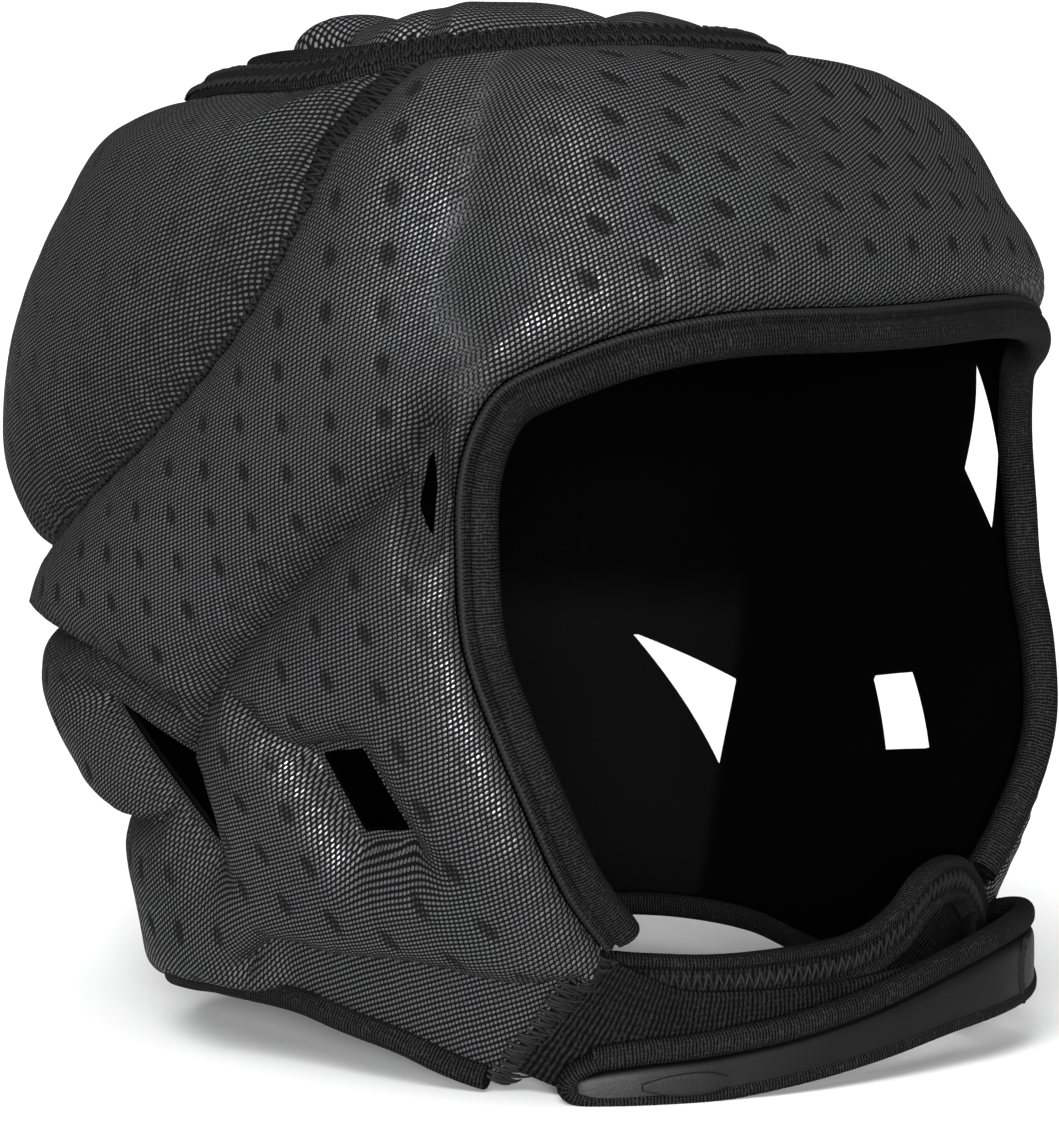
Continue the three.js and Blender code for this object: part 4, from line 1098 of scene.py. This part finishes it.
def crown_roll():
    line = roll_line(crown_rows(np.zeros_like, -180, 180, count=240)[:-1], count=420, closed=True)
    shape = groove(oval(half_thick=2.9, half_wide=4.2, power=2.8, count=40), at=-2.6, deep=0.6, wide=0.4)
    shape = groove(shape, at=2.6, deep=0.5, wide=0.4)
    sweep("crown_roll", moved(line, across=3.4, out=1.6), shape, BINDING, node="crown_binding", closed=True)
    band = moved(line, across=3.4, out=4.4)
    zigzag("crown_ladder", band, -3.9, -1.3, pitch=2.3, radius=0.34, arch=0.35, jitter=0.12, seed=4)
    zigzag("crown_ladder_inner", band, 1.0, 3.0, pitch=2.6, radius=0.3, arch=0.3, jitter=0.12, seed=5)


# Bearings between which a free side of the crown panel is bound
EDGE_FROM, EDGE_TO = 72, 118


def crown_edge_roll(side_name, sign):
    rows = crown_rows(crown_edge_inset, EDGE_FROM * sign, EDGE_TO * sign, count=60)
    line = moved(roll_line(rows, 120, sign), across=EDGE_ROLL / 2, out=1.0)
    shape = oval(EDGE_ROLL / 2, EDGE_ROLL / 2, power=2.4, count=24)
    name = "crown_edge_roll_" + side_name
    sweep(name, line, shape, BINDING, node="crown_edge_" + side_name)


# Flat-locked tape over the diagonal seam
TAPE_HALF_THICK, TAPE_LIFT, TAPE_STITCHED = 0.55, 2.0, 0.9


def tape_stitched(along):
    return TAPE_STITCHED * tape_half(along)


def seam_tape(side_name, sign):
    tape = moved(roll_line(catmull(both_sides(SEAM)[sign < 0], 12), 360, sign), out=TAPE_LIFT)
    half = tape_half(tape[1])
    flat = oval(1.0, 1.0, power=3.0, count=20)
    sweep("seam_tape_" + side_name, tape, scaled(flat, 0 * half + TAPE_HALF_THICK, half), KNIT)
    zigzag("seam_zigzag_" + side_name, moved(tape, out=0.6), None, tape_stitched,
           pitch=1.9, radius=0.32, arch=0.35, jitter=0.15, seed=7)


SIDES = (("right", 1), ("left", -1))
face_roll()
neck_roll()
crown_roll()
for side_name, sign in SIDES:
    crown_edge_roll(side_name, sign)
    seam_tape(side_name, sign)


def strap_line(rows, steps=24):
    if len(rows[0]) == 4:
        rows = [((x, y, top), (x, y, low)) for x, y, low, top in rows]
    both = catmull(np.array(rows, float).reshape(len(rows), 6), steps)
    top, low = both[:, :3], both[:, 3:]
    along = unit(np.gradient(top + low, axis=0))
    up = top - low
    half = np.linalg.norm(up, axis=1) / 2
    up = unit(up)
    middle = (top + low) / 2
    return (middle, run_along(middle), up, unit(np.cross(along, up))), half


def strap(name, rows, node, mat, thick, steps=24, power=3.4):
    line, half = strap_line(rows, steps)
    shapes = scaled(oval(1, 1, power, count=28), np.minimum(thick / 2, half), half)
    return sweep(name, line, shapes, mat, node)


# The same line with its out direction away from the head
def outward(line):
    middle, run, up, out = line
    return middle, run, up, out * np.sign(np.einsum("ij,ij->i", out[:, :2], middle[:, :2]))[:, None]


def inner_strap():
    strap("inner_strap_band", INNER_STRAP, "inner_strap", KNIT, thick=3.0)
    line, half = strap_line(INNER_STRAP)
    line = outward(line)
    shape = oval(half_thick=2.5, half_wide=1.6, power=2.3, count=20)
    for edge_name, side in (("upper", 1), ("lower", -1)):
        rim = moved(line, across=(side * (half - 1.0))[:, None])
        sweep("inner_strap_%s_edge" % edge_name, rim, shape, BINDING)
    zigzag("inner_strap_zigzag", moved(line, out=1.6), -1.7, 1.7, pitch=2.4, radius=0.3, arch=0.3,
           jitter=0.15, seed=9, from_run=6.0, to_run=line[1][-1] - 14)


# Overlocked end of the knit base over the mesh
def base_overlock(side_name, sign):
    over = moved(roll_line(catmull(both_sides(CHEEK_END)[sign < 0], 12), 120, sign), out=2.2)
    zigzag("base_overlock_" + side_name, over, -4.6, 2.0,
           pitch=1.5, radius=0.42, arch=0.7, jitter=0.45, seed=12)
    zigzag("base_overlock_loose_" + side_name, over, -6.5, -0.5,
           pitch=2.6, radius=0.3, arch=1.0, jitter=0.8, seed=13)


# Bowed seam across the front of the tab
TAB_THICK, TAB_SEAM_X, TAB_FRONT_Y, TAB_SEAM_BOW, TAB_SEAM_POINTS = 5.0, 46.0, -90.0, 2.4, 40


def tab_seam():
    line, half = strap_line(OUTER_TAB)
    middle, _, up, out = outward(line)
    off = np.abs(middle[:, 0] - TAB_SEAM_X)
    here = np.argmin(np.where(middle[:, 1] > TAB_FRONT_Y, np.inf, off))
    face = out[here]
    t = np.linspace(-1, 1, TAB_SEAM_POINTS)
    seam = middle[here] + up[here] * (half[here] * t)[:, None] + face * (TAB_THICK / 2 + 0.05)
    seam = seam + unit(middle[here] - middle[here - 1]) * (TAB_SEAM_BOW * t * t)[:, None]
    faces_out = np.repeat(face[None], TAB_SEAM_POINTS, axis=0)
    across = unit(np.cross(np.gradient(seam, axis=0), faces_out))
    line = (seam, (t + 1) * half[here], across, faces_out)
    sweep("tab_seam", line, oval(half_thick=0.3, half_wide=0.55, power=2, count=10), THREAD)
    zigzag("tab_seam_stitches", moved(line, out=0.15), 0.9, 0.9,
           pitch=3.2, radius=0.22, arch=0.25, jitter=0.05, seed=15)


# Jersey wrapped round the tab's left end and along its lower edge
HEM_RISE, HEM_END = 1.2, [(-61.2, -71.4, 2.6), (-60.2, -72.4, 6.2), (-57, -76, 8.8)]


def tab_hem():
    rows = [(x, y, low + HEM_RISE) for x, y, low, top in OUTER_TAB[:0:-1]] + HEM_END
    hem, run = spaced(catmull(rows, 12), count=260)
    along = unit(np.gradient(hem, axis=0))
    across = unit(np.cross(along, unit(hem * [0.6, 1, 0])))
    out = unit(np.cross(across, along))
    shape = oval(half_thick=3.1, half_wide=1.7, power=2.6, count=24)
    sweep("tab_hem", (hem, run, across, out), shape, BINDING)


strap("strap_base_knit", STRAP_BASE, "strap_base", KNIT, thick=2.4, steps=40)
inner_strap()
for side_name, sign in SIDES:
    base_overlock(side_name, sign)
strap("outer_tab_pad", OUTER_TAB, "outer_tab", TAB, thick=TAB_THICK, power=5)
tab_edge = [(x, y, top + 0.3, top + 5.5) for x, y, low, top in OUTER_TAB[1:]]
strap("tab_edge_roll", tab_edge, "tab_binding", BINDING, thick=6.2, power=2.4)
strap("tab_end_patch", TAB_PATCH, "tab_patch", TAB, thick=0.8, steps=16, power=4)
tab_seam()
tab_hem()

# Floor, lights and camera, in metres and degrees
FLOOR_HALF, FLOOR_COLOUR = 40.0, (0.6, 0.6, 0.604, 1)
# Azimuth, elevation, power, spread
SUNS = {"key": (-44, 5, 15.5, 18), "fill": (-62, 40, 3.0, 30), "top": (-70, 72, 3.2, 60)}
WORLD_STRENGTH = 0.08
CAMERA_AZIMUTH, CAMERA_ELEVATION, CAMERA_DISTANCE = -47, 6, 1.4
LOOK_AT = Vector((0, (-4 + SHIFT_Y) * MM, 0.0992))
# Focal length in pixels of the photo, whose longer side spans the sensor
FOCAL_PX, PHOTO_PX, SENSOR = 6580, 1130, 36


def floor():
    mesh = bpy.data.meshes.new("floor")
    r = FLOOR_HALF
    mesh.from_pydata([(-r, -r, 0), (r, -r, 0), (r, r, 0), (-r, r, 0)], [], [(0, 1, 2, 3)])
    t = Tree("floor")
    t.set(Base_Color=FLOOR_COLOUR, Roughness=0.9)
    mesh.materials.append(t.mat)
    obj = linked("floor", mesh)


# Object that looks back along a bearing, and the direction toward it
def aimed(name, data, azimuth, elevation):
    a, e = azimuth * DEG, elevation * DEG
    toward = Vector((math.sin(a) * math.cos(e), -math.cos(a) * math.cos(e), math.sin(e)))
    obj = linked(name, data)
    obj.rotation_mode = "QUATERNION"
    obj.rotation_quaternion = (-toward).to_track_quat("-Z", "Y")
    return obj, toward


floor()
for sun_name, (azimuth, elevation, power, spread) in SUNS.items():
    sun = bpy.data.lights.new(sun_name, "SUN")
    sun.energy = power
    sun.angle = spread * DEG
    aimed(sun_name, sun, azimuth, elevation)
world = bpy.data.worlds.new("studio")
world.use_nodes = True
background = world.node_tree.nodes["Background"].inputs
background["Color"].default_value = (1, 1, 1, 1)
background["Strength"].default_value = WORLD_STRENGTH
bpy.context.scene.world = world
bpy.context.scene.view_settings.view_transform = "Standard"
camera = bpy.data.cameras.new("camera")
camera.sensor_width = SENSOR
camera.lens = FOCAL_PX / PHOTO_PX * SENSOR
camera_object, back = aimed("camera", camera, CAMERA_AZIMUTH, CAMERA_ELEVATION)
camera_object.location = LOOK_AT + back * CAMERA_DISTANCE
bpy.context.scene.camera = camera_object
